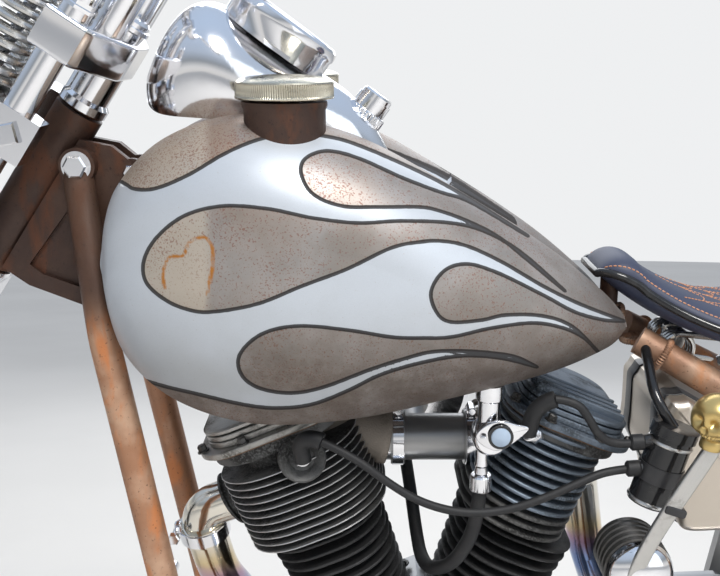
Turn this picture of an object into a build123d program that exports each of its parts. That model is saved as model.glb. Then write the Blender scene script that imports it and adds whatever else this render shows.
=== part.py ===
"""Chopper motorcycle: a rigid-frame V-twin with a springer fork, leaning on its side stand.

Everything is modelled upright in the bike's own frame, in millimetres: x forward from the rear
axle, y to the rider's left, z up from the ground. Fork pieces use a second frame on the steering
axis: x forward of the axis, z up along it, from the top of the head tube. At the end each piece
is leaned over with park() and written to parts/NAME.step.
"""
from build123d import *
import math
import os

# Stance: the lean onto the side stand, and the point under the middle of the parked machine
LEAN = 9.0
ORIGIN_X = 794.0
ORIGIN_Y = 203.0

# Wheels: radius, width, bead radius and shoulder of each tyre
REAR_R, REAR_W, REAR_BEAD, REAR_SHOULDER = 325.0, 130.0, 203.0, (50.0, 22.0)
FRONT_R, FRONT_W, FRONT_BEAD, FRONT_SHOULDER = 346.0, 82.0, 267.0, (30.0, 14.0)
WHEELBASE = 1658.0
AXLE_D, AXLE_BORE = 19.05, 12.0
HUB_BORE = 19.2
SPOKE, SPOKE_ROW, SPOKES, WELL_DEPTH = 3.2, 3.4, 40, 17.2

# Steering: head tube top, rake, tube and the fork legs, measured along and forward of the axis
RAKE = 34.0
HEAD_TOP = (1131.0, 962.0)
HEAD_LENGTH, HEAD_D = 174.0, 48.0
STEM_D = 25.4
TREE_BACK, TREE_SWEEP = 28.0, 42.0
REAR_LEG_X, REAR_LEG_Y, REAR_LEG_D = 28.0, 88.0, 28.0
FRONT_LEG_TOP, FRONT_LEG_FOOT = (78.0, 62.0, -190.0), (140.0, 58.0, -780.0)
FRONT_LEG_D = 24.0
SPRING_X, SPRING_Y = 75.0, 45.0

# Frame tube sizes
TUBE_D = 28.6
BACKBONE_D = 38.0
CROSS_D = 26.0
RAIL_Z = 148.0
RAIL_Y = 88.0
PLATE_Y = 115.0
GEARBOX_PLATE_TOP = 171.0

# Engine: crank centre and the stations of barrel, head and rocker cover along each cylinder
CRANK = (800.0, 300.0)
CARB_X = 815.0
VEE = 22.5
DECK, BARREL_TOP, HEAD_TOP_S, COVER_TOP = 140.0, 271.0, 386.0, 412.0
CASE_Y = 74.0
MAINSHAFT = (470.0, 330.0)

# Final drive: chain pitch, teeth and line
PITCH = 15.875
REAR_TEETH, FRONT_TEETH = 48, 24
CHAIN_Y = 82.0

# Tank half by station: x, top, bottom, outer y
TANK = (
    (1106.0, 848.0, 808.0, 72.0),
    (1084.0, 899.0, 752.0, 114.0),
    (1035.0, 944.0, 711.0, 146.0),
    (960.0, 964.0, 691.0, 165.0),
    (870.0, 946.0, 696.0, 168.0),
    (780.0, 899.0, 714.0, 160.0),
    (690.0, 842.0, 732.0, 134.0),
    (634.0, 797.0, 747.0, 98.0),
    (612.0, 774.0, 757.0, 64.0),
)
TUNNEL = 24.0
CAP = (928.0, 95.0)

PARTS = {}


def crown(radius_drop):
    """Radius of the tread's arc from its shoulder's half width and drop."""
    half, drop = radius_drop
    return (half**2 + drop**2) / (2 * drop)


# The narrow front tyre rolls over less as the machine leans, so its axle sits this much lower
LEAN_SIN, LEAN_COS = math.sin(math.radians(LEAN)), math.cos(math.radians(LEAN))
REAR_CROWN, FRONT_CROWN = crown(REAR_SHOULDER), crown(FRONT_SHOULDER)
LIFT = REAR_CROWN * (1 - LEAN_COS)
FRONT_DROP = (REAR_CROWN - FRONT_CROWN) * (1 - LEAN_COS) / LEAN_COS
REAR_AXLE = (0.0, REAR_R)
FRONT_AXLE = (WHEELBASE, FRONT_R - FRONT_DROP)

STEER = Pos(HEAD_TOP[0], 0, HEAD_TOP[1]) * Rot(0, -RAKE, 0)
PARK = Pos(-ORIGIN_X, -ORIGIN_Y, LIFT) * Rot(-LEAN, 0, 0)


def fork_point(x, z):
    """A bike-frame point (x, z) as (x, z) in the steering frame."""
    dx, dz = x - HEAD_TOP[0], z - HEAD_TOP[1]
    sin, cos = math.sin(math.radians(RAKE)), math.cos(math.radians(RAKE))
    return dx * cos + dz * sin, dz * cos - dx * sin


AXLE_X, AXLE_Z = fork_point(*FRONT_AXLE)


def keep(name, shape):
    """Store a finished piece under its name."""
    PARTS[name] = shape


def both(shape):
    """The shape and its mirror image across the machine's middle."""
    return Compound(children=[*shape.solids(), *mirror(shape, about=Plane.XZ).solids()])


def group(*shapes):
    """Separate solids that belong to one piece."""
    return Compound(children=[s for shape in shapes for s in shape.solids()])


def trimmed(shape, *others):
    """The largest solid left of shape once the others are cut away."""
    for other in others:
        for solid in other.solids():
            shape = shape - solid
    return max(shape.solids(), key=lambda part: part.volume)


def rod(start, end, size, bore=0.0):
    """Round bar or tube between two points."""
    start, end = Vector(*start), Vector(*end)
    plane = Plane(origin=start, z_dir=end - start)
    section = Circle(size / 2)
    if bore:
        section -= Circle(bore / 2)
    return extrude(plane * section, (end - start).length)


def tube(points, size, bends):
    """Round tube along straight runs joined by bends of the given radii."""
    path = FilletPolyline(*points, radius=bends)
    return sweep(Plane(origin=path @ 0, z_dir=path % 0) * Circle(size / 2), path=path)


def cord(points, size, share=0.45):
    """Tube along a route, each arc as large as its two runs allow."""
    radii = []
    for a, b, c in zip(points, points[1:], points[2:]):
        u, v = Vector(*b) - Vector(*a), Vector(*c) - Vector(*b)
        turn = math.radians(u.get_angle(v))
        radii.append(share * min(u.length, v.length) / math.tan(turn / 2))
    path = FilletPolyline(*points, radius=radii)
    return sweep(Plane(origin=path @ 0, z_dir=path % 0) * Circle(size / 2), path=path)


def plate(outline, low, high):
    """Flat piece with an x-z outline, from y = low to y = high."""
    plane = Plane(origin=(0, high, 0), x_dir=(1, 0, 0), z_dir=(0, -1, 0))
    return extrude(plane * make_face(Polyline(*outline, close=True)), high - low)


def disc(centre, radius, low, high):
    """Round piece across the machine at (x, z), from y = low to y = high."""
    x, z = centre
    return rod((x, low, z), (x, high, z), 2 * radius)


def turned(points, axis=Axis.Y):
    """Solid of revolution from (radius, along) points, about y."""
    return revolve(make_face(Polyline(*points, close=True)), axis)


def turned_at(centre, points):
    """Solid of revolution about a cross axis at (x, z), from (radius, y) points."""
    return Pos(centre[0], 0, centre[1]) * turned(points)


def cylinder_frame(side):
    """Frame of one cylinder: origin on the crank, z up the bore; side is 1 front, -1 rear."""
    return Pos(CRANK[0], 0, CRANK[1]) * Rot(0, side * VEE, 0)


def rounded_slab(length, width, corner, low, high):
    """Rounded rectangular slab about the z axis."""
    return Pos(0, 0, low) * extrude(RectangleRounded(length, width, corner), high - low)


# Wheels

def tyre(radius, width, bead, shoulder):
    """Tyre section turned about the axle: tread arc, two wall arcs and straight beads."""
    half, drop = shoulder
    seat = width * 0.3
    wall = bead + 14
    middle = (wall + radius - drop) / 2 + 4
    upper = (
        ThreePointArc((radius - drop, -half), (radius, 0), (radius - drop, half)),
        ThreePointArc((radius - drop, half), (middle, width / 2), (wall, seat)),
        Line((wall, seat), (bead, seat)),
        Line((bead, seat), (bead, -seat)),
        Line((bead, -seat), (wall, -seat)),
        ThreePointArc((wall, -seat), (middle, -width / 2), (radius - drop, -half)),
    )
    return revolve(make_face(Curve() + list(upper)), Axis.Y)


def rim(width, bead):
    """Drop-centre steel rim with rolled edges and a flat for every spoke in its well."""
    seat = width * 0.3
    half = [
        (bead + 10, seat), (bead + 10, seat + 3.5), (bead - 4, seat + 3.5),
        (bead - 4, seat * 0.5), (bead - 18, seat * 0.5),
    ]
    inner = [(bead - 14, seat * 0.4), (bead - 0.2, seat * 0.4), (bead - 0.2, seat)]
    left = half + [(r, -y) for r, y in reversed(half)]
    right = [(r, -y) for r, y in reversed(inner)] + inner
    flats = Plane.XZ * RegularPolygon(bead - WELL_DEPTH, 2 * SPOKES)
    well = Pos(0, seat * 0.5, 0) * extrude(flats, seat)
    return turned(left + right) - well


def hub(barrel, flange, half, span):
    """Spool hub: barrel, two spoke flanges at y = +-span and the axle bore."""
    lip = flange - 3
    edge = [
        (HUB_BORE / 2, half), (16, half), (barrel, half - 8), (barrel, span + 3),
        (lip, span + 3), (flange, span), (lip, span - 3), (barrel, span - 3),
    ]
    outline = edge + [(r, -y) for r, y in reversed(edge)]
    return turned(outline)


def spokes(count, flange, span, bead, rim_y):
    """Crossed wire spokes, as slim square bars from flange to rim."""
    wires = []
    for i in range(count):
        side = 1 if i % 2 else -1
        cross = 1 if i % 4 < 2 else -1
        row = side * (span + SPOKE_ROW * cross)
        rim_angle = 2 * math.pi * i / count
        hub_angle = rim_angle + cross * math.radians(52)
        start = Vector((flange - 5) * math.cos(hub_angle), row, (flange - 5) * math.sin(hub_angle))
        end = Vector((bead - 15) * math.cos(rim_angle), side * rim_y, (bead - 15) * math.sin(rim_angle))
        plane = Plane(origin=start, z_dir=end - start)
        wires.append(extrude(plane * Rectangle(SPOKE, SPOKE), (end - start).length))
    return wires


def wheel(axle, radius, width, bead, shoulder, hub_size):
    """Tyre and laced wheel of one end, at its axle."""
    at = Pos(axle[0], 0, axle[1])
    barrel, flange, half, span = hub_size
    laced = hub(barrel, flange, half, span).fuse(
        rim(width, bead), *spokes(SPOKES, flange, span, bead, 5)
    )
    return at * tyre(radius, width, bead, shoulder), at * laced


def sprocket(teeth, thick, bore):
    """Toothed disc about y."""
    pitch_radius = PITCH / 2 / math.sin(math.pi / teeth)
    root, tip = pitch_radius - 5.1, pitch_radius + 4.0
    step = 2 * math.pi / teeth
    outline = []
    for i in range(teeth):
        for shift, r in ((-0.32, root), (-0.12, tip), (0.12, tip), (0.32, root)):
            angle = (i + shift) * step
            outline.append((r * math.cos(angle), r * math.sin(angle)))
    face = Plane.XZ * make_face(Polyline(*outline, close=True))
    blank = Pos(0, thick / 2, 0) * extrude(face, thick)
    return blank - rod((0, -thick, 0), (0, thick, 0), bore)


def rear_drive_wheel():
    """Rear brake drum with the chain sprocket on its rim."""
    drum = turned([
        (HUB_BORE / 2, 50), (100, 50), (100, 76), (86, 76),
        (86, 58), (30, 58), (30, 88), (HUB_BORE / 2, 88),
    ])
    ring = Pos(0, CHAIN_Y, 0) * sprocket(REAR_TEETH, 7, 2 * 84)
    carrier = turned([(84, 76), (100, 76), (100, 78.6), (84, 78.6)])
    return Pos(REAR_AXLE[0], 0, REAR_AXLE[1]) * drum.fuse(carrier, ring)


# Frame

SEAT_POST = ((584, 0, 748), (566, 0, RAIL_Z + 8))


def neck():
    """Head tube in its forging, backbone, tank lugs, seat post and the seat's front hinge."""
    head = STEER * rod((0, 0, -HEAD_LENGTH), (0, 0, 0), HEAD_D)
    web = [(1128, 936), (1211, 813), (1186, 795), (1122, 770), (1096, 800), (1040, 868), (1052, 892), (1098, 930)]
    pocket = [(1133, 882), (1184, 816), (1172, 806), (1128, 790), (1116, 812), (1112, 850)]
    side = plate(web, 12, 22) - plate(pocket, 16, 30)
    boss = disc((1128, 913), 17, 12, 36)
    lug = disc((1080, 905), 13, 12, 20)
    backbone = rod((1118, 0, 896), (606, 0, 752), BACKBONE_D)
    post = rod(*SEAT_POST, TUBE_D)
    lugs = [rod((x, -TUNNEL, z), (x, TUNNEL, z), 20) for x, z in ((1040, 872), (660, 768))]
    hinge = rod((614, 0, 756), (614, 0, 812), 18)
    cheek = side.fuse(boss, lug)
    whole = head.fuse(cheek, mirror(cheek, about=Plane.XZ), backbone, post, hinge, *lugs)
    return whole - STEER * rod((0, 0, -HEAD_LENGTH - 5), (0, 0, 5), 32)


BEND_TOP = (1003.0, 86.0, 214.0)


def downtube(size=TUBE_D):
    """Left downtube, from the head tube to the start of the bottom bend."""
    return tube([(1130, 27, 908), (1103, 73, 756), BEND_TOP], size, 120)


def bottom_rail():
    """Left bottom rail with its front bend and the axle plate."""
    drop = (BEND_TOP[2] - RAIL_Z) / (756 - BEND_TOP[2])
    corner = (BEND_TOP[0] - 100 * drop, BEND_TOP[1] + 13 * drop, RAIL_Z)
    bend = [BEND_TOP, corner, (330, 104, RAIL_Z), (34, PLATE_Y, 300)]
    pipe = tube(bend, TUBE_D, [60, 160])
    ear = [(-44, 345), (-44, 305), (-10, 292), (40, 284), (52, 300), (52, 352), (38, 364), (-10, 358)]
    flat = plate(ear, PLATE_Y - 5, PLATE_Y + 5)
    return pipe.fuse(flat) - disc(REAR_AXLE, AXLE_D / 2 + 0.1, 90, 140)


def stay():
    """Left upper stay, from the seat junction down to the axle plate."""
    pipe = tube([(590, 30, 742), (440, 84, 660), (46, PLATE_Y, 356)], TUBE_D, 180)
    return pipe


def cross_tubes(rails):
    """Cross tubes between the rails and stays, with the engine and gearbox plates."""
    table = (  # x, z, half width, diameter
        (1009, 250, 90, 22.0),
        (940, RAIL_Z, 86, CROSS_D),
        (680, RAIL_Z, 92, CROSS_D),
        (566, RAIL_Z, 95, CROSS_D),
        (300, RAIL_Z, 101, CROSS_D),
        (301.7, 552.6, 93, 25.0),
    )
    bars = [trimmed(rod((x, -half, z), (x, half, z), size), rails) for x, z, half, size in table]
    shelf = Pos(433, 0, GEARBOX_PLATE_TOP - 5) * Box(266, 130, 10)
    bars[3] = bars[3].fuse(trimmed(shelf, rails), bars[4])
    return group(*bars[:4], bars[5])


# Engine

def crankcase():
    """Crankcases: round crank chamber, wedge up to both decks, and the mounting feet."""
    x, z = CRANK
    chamber = disc(CRANK, 112, -CASE_Y, CASE_Y)
    deck = 50
    sin, cos = math.sin(math.radians(VEE)), math.cos(math.radians(VEE))
    front = (x + DECK * sin + deck * cos, z + DECK * cos - deck * sin)
    inner = (x, z + DECK / cos)
    rear = (2 * x - front[0], front[1])
    wedge = plate([front, inner, rear, (x - 100, z - 60), (x + 100, z - 60)], -CASE_Y, CASE_Y)
    feet = plate(
        [(x - 150, 178), (x - 150, 196), (x - 92, 236), (x + 92, 236), (x + 146, 196), (x + 146, 178)],
        -CASE_Y, CASE_Y,
    )
    pads = [
        plate([(a - 13, 152), (a + 13, 152), (a + 13, 190), (a - 13, 190)], -52, 52)
        - disc((a, RAIL_Z), CROSS_D / 2, -60, 60)
        for a in (940, 680)
    ]
    boss = disc(CRANK, 46, CASE_Y, 97)
    timing = plate([(x - 20, z + 40), (x + 130, z + 60), (x + 140, z - 20), (x, z - 90)], -CASE_Y, 30)
    return chamber.fuse(wedge, feet, boss, timing, *pads)


def fins(table, length, width, corner, low, high, thick):
    """Cooling fins about the bore: a slab at each station of the table, scaled by its factor."""
    return [
        rounded_slab(length * scale, width * scale, corner, s, s + thick)
        for s, scale in table
        if low <= s <= high
    ]


def barrel(side):
    """Finned cylinder barrel on its deck."""
    core = Pos(0, 0, DECK) * extrude(Circle(47), BARREL_TOP - DECK)
    table = [(DECK + 10 + 12.2 * i, 0.86 + 0.015 * i) for i in range(10)]
    slabs = fins(table, 122, 136, 50, DECK, BARREL_TOP - 4, 3.4)
    return cylinder_frame(side) * core.fuse(*slabs)


# Along each bore: fin length and its shift towards the V, plug place and the inlet's mouth
HEAD_SHAPE = {1: (148.0, 0.0), -1: (126.0, 9.0)}
PLUG = {1: (-24.0, 358.0), -1: (55.0, 374.0)}
INLET = {1: ((905, 0, 642), (833, 0, 628)), -1: ((690, 0, 646), (739, 0, 628))}


def head(side):
    """Finned cylinder head with its exhaust port, inlet casting and plug."""
    length, shift = HEAD_SHAPE[side]
    block = rounded_slab(80, 120, 24, BARREL_TOP, HEAD_TOP_S)
    table = [(BARREL_TOP + 2 + 16.0 * i, 1.0) for i in range(6)]
    slabs = [Pos(shift, 0, 0) * slab for slab in fins(table, length, 168, 60, BARREL_TOP, HEAD_TOP_S, 4)]
    roof = Pos(shift, 0, 0) * rounded_slab(length - 8, 160, 50, HEAD_TOP_S - 14, HEAD_TOP_S)
    port = rod((30, 0, 322), (86, 0, 314), 50) if side == 1 else rod((-26, -40, 322), (-56, -58, 316), 50)
    at, height = PLUG[side]
    plug = rod((0.4 * at, 40, height - 8), (at, 96, height + 4), 14)
    inlet = rod(*INLET[side], 58)
    return (cylinder_frame(side) * block.fuse(*slabs, roof, port, plug)).fuse(inlet)


def rocker_cover(side):
    """Stepped rocker cover with a flange."""
    length, shift = HEAD_SHAPE[side]
    flange = rounded_slab(length + 6, 170, 40, HEAD_TOP_S, HEAD_TOP_S + 7)
    lid = rounded_slab(length - 16, 152, 34, HEAD_TOP_S + 7, COVER_TOP)
    return cylinder_frame(side) * Pos(shift, 0, 0) * flange.fuse(lid)


def cam_cover():
    """Right-hand timing cover with its round cam nose."""
    x, z = CRANK
    shape = plate(
        [(x - 60, z + 66), (x + 10, z + 92), (x + 116, z + 60), (x + 122, z - 16), (x + 40, z - 84), (x - 30, z - 60)],
        -CASE_Y - 34, -CASE_Y,
    )
    nose = disc((x + 16, z), 50, -CASE_Y - 52, -CASE_Y - 34)
    return shape.fuse(nose)


def pushrod_tubes():
    """Four pushrod tubes on the right, from the tappet blocks to the heads."""
    feet = ((CRANK[0] + 62, 1), (CRANK[0] + 38, 1), (CRANK[0] - 14, -1), (CRANK[0] - 38, -1))
    tubes = []
    for x, side in feet:
        end = cylinder_frame(side) * Pos(side * 8 + (x - CRANK[0]) * 0.4, -86, HEAD_TOP_S - 16)
        top = end.position
        tubes.append(rod((x, -CASE_Y - 18, CRANK[1] + 84), (top.X, -94, top.Z), 18))
    return group(*tubes)


def carburettor():
    """Intake manifold between the heads, its clamps and the carburettor on the right."""
    x = CARB_X
    runner = rod((x - 80, 0, 628), (x + 22, 0, 628), 48)
    stub = rod((x, 0, 628), (x, -90, 634), 44)
    bands = [rod((a, 0, 628), (a + 14, 0, 628), 56) for a in (x - 73, x + 2)]
    body = rod((x, -90, 634), (x, -150, 634), 58)
    bowl = rod((x, -118, 634), (x, -118, 578), 52)
    inlet = rod((x, -70, 592), (x, -100, 592), 9)
    return runner.fuse(stub, *bands, body, bowl, inlet)


def air_cleaner():
    """Round air cleaner on the carburettor."""
    return turned_at((CARB_X, 628), [(0, -150), (76, -150), (82, -158), (82, -184), (72, -196), (0, -200)])


def exhaust():
    """Two drag pipes: each leaves its port, crosses to the right and runs back."""
    sin, cos = math.sin(math.radians(VEE)), math.cos(math.radians(VEE))
    port = (CRANK[0] + 314 * sin + 86 * cos, CRANK[1] + 314 * cos - 86 * sin)
    front = tube(
        [(port[0] - 12, 0, port[1] + 5), (1034, -2, 544), (1018, -22, 462), (968, -136, 310), (932, -148, 236),
         (-60, -196, 236)],
        44, [26, 110, 110, 60],
    )
    rear = tube(
        [(643, -42, 570), (612, -106, 546), (586, -152, 430), (548, -164, 320), (-30, -190, 320)],
        44, [40, 110, 80],
    )
    clamp = rod((1031, -5, 530), (1028, -9, 512), 52)
    return group(front.fuse(clamp), rear)


def primary():
    """Oval primary chaincase on the left, with clutch and compensator covers."""
    front, rear = CRANK, MAINSHAFT
    low, high = 97, 158
    span = math.hypot(front[0] - rear[0], front[1] - rear[1])
    unit = ((front[0] - rear[0]) / span, (front[1] - rear[1]) / span)
    up = (-unit[1], unit[0])
    hull = [
        (front[0] + up[0] * 84, front[1] + up[1] * 84), (rear[0] + up[0] * 114, rear[1] + up[1] * 114),
        (rear[0] - up[0] * 114, rear[1] - up[1] * 114), (front[0] - up[0] * 84, front[1] - up[1] * 84),
    ]
    body = plate(hull, low, high).fuse(disc(front, 86, low, high), disc(rear, 116, low, high))
    caps = [disc(rear, 70, high, high + 10), disc(front, 40, high, high + 8)]
    return body.fuse(*caps)


def gearbox():
    """Gearbox with the kick-starter cover, arm and pedal on the right."""
    case = plate([(400, 250), (400, 392), (430, 416), (516, 416), (548, 384), (548, 250), (526, 220), (420, 220)],
                 -92, 68)
    feet = plate([(420, GEARBOX_PLATE_TOP), (520, GEARBOX_PLATE_TOP), (520, 230), (420, 230)], -60, 50)
    cover = plate([(404, 262), (404, 382), (436, 404), (520, 400), (548, 366), (548, 270), (500, 240)], -122, -92)
    shaft = rod((430, -122, 352), (430, -158, 352), 22)
    arm = plate([(420, 344), (440, 344), (404, 556), (388, 552)], -158, -144)
    pedal = rod((396, -158, 548), (396, -238, 548), 26)
    output = rod((MAINSHAFT[0], 68, MAINSHAFT[1]), (MAINSHAFT[0], 97, MAINSHAFT[1]), 40)
    return case.fuse(feet, cover, shaft, arm, pedal, output)


# Chain

def loop_points(radius_front, radius_rear, wave, step):
    """Closed run round both sprockets at the given radii, with a wave that marks each link."""
    (fx, fz), (rx, rz) = MAINSHAFT, REAR_AXLE
    span = math.hypot(fx - rx, fz - rz)
    tilt = math.atan2(fz - rz, fx - rx)
    flare = math.asin((radius_rear - radius_front) / span)
    upper, lower = tilt + math.pi / 2 - flare, tilt - math.pi / 2 + flare
    run = span * math.cos(flare)
    arc_front, arc_rear = radius_front * (math.pi - 2 * flare), radius_rear * (math.pi + 2 * flare)
    total = 2 * run + arc_front + arc_rear
    count = int(total // step)
    points = []
    for i in range(count):
        d = total * i / count
        lift = wave if i % 2 else 0.0
        if d < arc_front:
            angle = lower + d / radius_front
            r = radius_front + lift
            points.append((fx + r * math.cos(angle), fz + r * math.sin(angle)))
        elif d < arc_front + run:
            k = (d - arc_front) / run
            points.append(along(upper, k, radius_front + lift, radius_rear + lift, fx, fz, rx, rz))
        elif d < arc_front + run + arc_rear:
            angle = upper + (d - arc_front - run) / radius_rear
            r = radius_rear + lift
            points.append((rx + r * math.cos(angle), rz + r * math.sin(angle)))
        else:
            k = (total - d) / run
            points.append(along(lower, k, radius_front + lift, radius_rear + lift, fx, fz, rx, rz))
    return points


def along(angle, k, r1, r2, fx, fz, rx, rz):
    """Point at share k of the straight run between the two circles."""
    a = (fx + r1 * math.cos(angle), fz + r1 * math.sin(angle))
    b = (rx + r2 * math.cos(angle), rz + r2 * math.sin(angle))
    return a[0] + k * (b[0] - a[0]), a[1] + k * (b[1] - a[1])


def chain():
    """Drive chain as its two rows of link plates, either side of the sprocket teeth."""
    front = PITCH / 2 / math.sin(math.pi / FRONT_TEETH)
    rear = PITCH / 2 / math.sin(math.pi / REAR_TEETH)
    outer = loop_points(front + 5.5, rear + 5.5, 2.0, PITCH / 2)
    inner = loop_points(front - 7.0, rear - 7.0, 0.0, PITCH)
    rows = []
    for low, high in ((CHAIN_Y - 9.0, CHAIN_Y - 5.0), (CHAIN_Y + 5.0, CHAIN_Y + 9.0)):
        rows.append(plate(outer, low, high) - plate(inner, low - 1, high + 1))
    return group(*rows)


# Tank, dash and caps

def tank_section(x, top, bottom, outer):
    """Cross-section of the left tank half at one station: a round crown, a belly arc and the tunnel side."""
    width, height = outer - TUNNEL, top - bottom
    reach = 0.643 * width
    fall = min(reach, 0.55 * height)
    radius = (reach**2 + fall**2) / (2 * fall)
    axis, centre = outer - reach, top - radius

    def crown_point(angle):
        return axis + radius * math.cos(angle), centre + radius * math.sin(angle)

    low = math.atan2(top - fall - centre, reach)
    high = math.acos((TUNNEL - axis) / radius)
    crest, shoulder, side = crown_point(high), crown_point((low + high) / 2), (outer, top - fall)
    belly = (outer - 0.10 * width, bottom + 0.18 * height)
    keel = (outer - 0.30 * width, bottom)
    step = (TUNNEL + 0.44 * width, bottom + 0.12 * height)
    roof = (TUNNEL, bottom + 0.14 * height)
    plane = Plane(origin=(x, 0, 0), x_dir=(0, 1, 0), z_dir=(1, 0, 0))
    edges = [
        ThreePointArc(crest, shoulder, side),
        ThreePointArc(side, belly, keel),
        Line(keel, step),
        Line(step, roof),
        Line(roof, crest),
    ]
    return plane * make_face(Curve() + edges)


def tank_half():
    """Left tank half with its filler bung."""
    shell = loft([tank_section(*row) for row in TANK])
    bung = rod((CAP[0], CAP[1], 925), (CAP[0], CAP[1], 978), 71)
    return shell.fuse(bung)


def gas_cap():
    """Left filler cap with a coin edge."""
    ribs = 24
    edge = []
    for i in range(2 * ribs):
        r = 43 if i % 2 else 41
        edge.append((r * math.cos(math.pi * i / ribs), r * math.sin(math.pi * i / ribs)))
    band = extrude(make_face(Polyline(*edge, close=True)), 16)
    crown_top = Pos(0, 0, 16) * extrude(Circle(38), 5)
    return Pos(CAP[0], CAP[1], 978) * band.fuse(crown_top)


def dash():
    """Chrome dash between the tank halves, with the speedometer and ignition switch."""
    table = (  # x, top, base, half width
        (1062, 1000, 972, 20),
        (1040, 1040, 960, 40),
        (1002, 1062, 958, 54),
        (960, 1040, 952, 54),
        (905, 1000, 938, 46),
        (850, 950, 914, 34),
        (775, 902, 878, 12),
    )
    faces = []
    for x, top, base, half in table:
        plane = Plane(origin=(x, 0, 0), x_dir=(0, 1, 0), z_dir=(1, 0, 0))
        arch = ThreePointArc((-half, base), (0, top), (half, base))
        faces.append(plane * make_face(Curve() + [arch, Line((half, base), (-half, base))]))
    body = loft(faces)
    slope = Rot(0, -36, 0)
    gauge = Pos(946, 0, 1022) * slope * extrude(Circle(54), 24)
    switch = Pos(868, 0, 945) * slope * extrude(Circle(17), 34)
    whole = body.fuse(gauge, switch)
    for side in (1, -1):
        whole -= rod((CAP[0], side * CAP[1], 900), (CAP[0], side * CAP[1], 1080), 92)
    return whole - STEER * rod((0, 0, -40), (0, 0, 92), 2 * TREE_SWEEP)


def petcock():
    """Fuel tap under the left tank: stem, body, lever and hose spigot."""
    stem = rod((743, 98, 760), (743, 98, 666), 26)
    lens = rod((742, 84, 670), (742, 114, 670), 34)
    lever = plate([(722, 688), (712, 678), (756, 654), (762, 666)], 112, 119)
    spigot = rod((749, 98, 664), (749, 98, 622), 12)
    return stem.fuse(lens, spigot, lever)


# Seat, oil tank and electrics

FRONT_LEAD = (
    (898, 111, 668), (870, 117, 657), (838, 120, 632), (806, 122, 612), (768, 123, 602), (728, 122, 604),
    (690, 120, 617), (658, 116, 631), (634, 112, 640), (612, 110, 641),
)
REAR_LEAD = (
    (684, 106, 708), (665, 109, 707), (653, 112, 691), (645, 114, 676), (629, 113, 666), (610, 111, 667),
)
FUEL_HOSE = (
    (749, 98, 622), (751, 99, 596), (756, 98, 566), (772, 90, 532), (792, 66, 512), (800, 34, 508),
    (803, 0, 518), (808, -36, 552), (815, -70, 592),
)


def seat():
    """Solo saddle: side profile cut to a teardrop plan."""
    side = [
        ThreePointArc((634, 808), (618, 824), (590, 814)),
        ThreePointArc((590, 814), (470, 772), (345, 806)),
        ThreePointArc((345, 806), (318, 804), (306, 778)),
        ThreePointArc((306, 778), (460, 736), (634, 808)),
    ]
    plane = Plane(origin=(0, 150, 0), x_dir=(1, 0, 0), z_dir=(0, -1, 0))
    thick = extrude(plane * make_face(Curve() + side), 300)
    plan = [
        ThreePointArc((600, -44), (644, 0), (600, 44)),
        ThreePointArc((600, 44), (500, 84), (420, 132)),
        ThreePointArc((420, 132), (300, 0), (420, -132)),
        ThreePointArc((420, -132), (500, -84), (600, -44)),
    ]
    return thick & (Pos(0, 0, 650) * extrude(make_face(Curve() + plan), 300))


def seat_springs():
    """Hairpin springs under the saddle: ribbed coil and two legs on each side."""
    turns = ribbed((549, 7, 731), (0, 1, 0), 36, 18, 3, 7.0)
    upper = rod((545, 24, 746), (446, 30, 738), 7)
    lower = rod((545, 12, 716), (474, 66, 689), 7)
    pin = rod((474, 60, 690), (474, 76, 680), 12)
    return turns.fuse(upper, lower, pin)


def ribbed(base, direction, size, core, coils, pitch):
    """Coil spring in outline: a core with one ridge for each turn."""
    outline = [(core / 2, 0)]
    for i in range(coils):
        start = i * pitch
        outline += [(size / 2 - 3, start), (size / 2, start + pitch * 0.35), (size / 2 - 3, start + pitch * 0.7),
                    (size / 2 - 6, start + pitch * 0.85)]
    outline += [(size / 2 - 3, coils * pitch), (core / 2, coils * pitch)]
    solid = revolve(make_face(Plane.XZ * Polyline(*outline, close=True)), Axis.Z)
    return Plane(origin=base, z_dir=direction) * solid


def oil_tank():
    """Horseshoe oil tank round the seat post."""
    body = plate([(404, 574), (404, 602), (430, 624), (548, 694), (566, 694), (574, 680), (574, 622), (544, 560),
                  (418, 560)], -80, 80)
    post = rod(*SEAT_POST, TUBE_D + 0.2)
    slot = Pos(608, 0, 630) * Box(60, TUBE_D + 0.2, 180)
    filler = rod((452, -40, 628), (452, -40, 664), 40)
    return (body - post - slot).fuse(filler)


def coil():
    """Ignition coil: canister with a cap and two towers."""
    can = rod((592, 106, 606), (574, 106, 672), 40)
    cap = rod((574, 106, 672), (571, 106, 682), 44)
    towers = [rod((x - 30, 106, z + 3), (x, y, z), 13) for x, y, z in (REAR_LEAD[-1], FRONT_LEAD[-1])]
    hanger = cord([(573, 106, 680), (590, 96, 706), (586, 42, 738)], 10, 0.6)
    return can.fuse(cap, hanger, *towers)


def plug_boots():
    """Rubber elbow boots over both spark plugs."""
    boots = []
    for side, knee, exit_ in ((1, (921, 104, 676), FRONT_LEAD[0]), (-1, (701, 102, 701), REAR_LEAD[0])):
        base = (cylinder_frame(side) * Pos(PLUG[side][0], 96, PLUG[side][1] + 4)).position
        boots.append(cord([tuple(base), knee, exit_], 16, 0.85))
    return group(*boots)


SHIFT_PIVOT = (604.0, 548.0)


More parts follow.
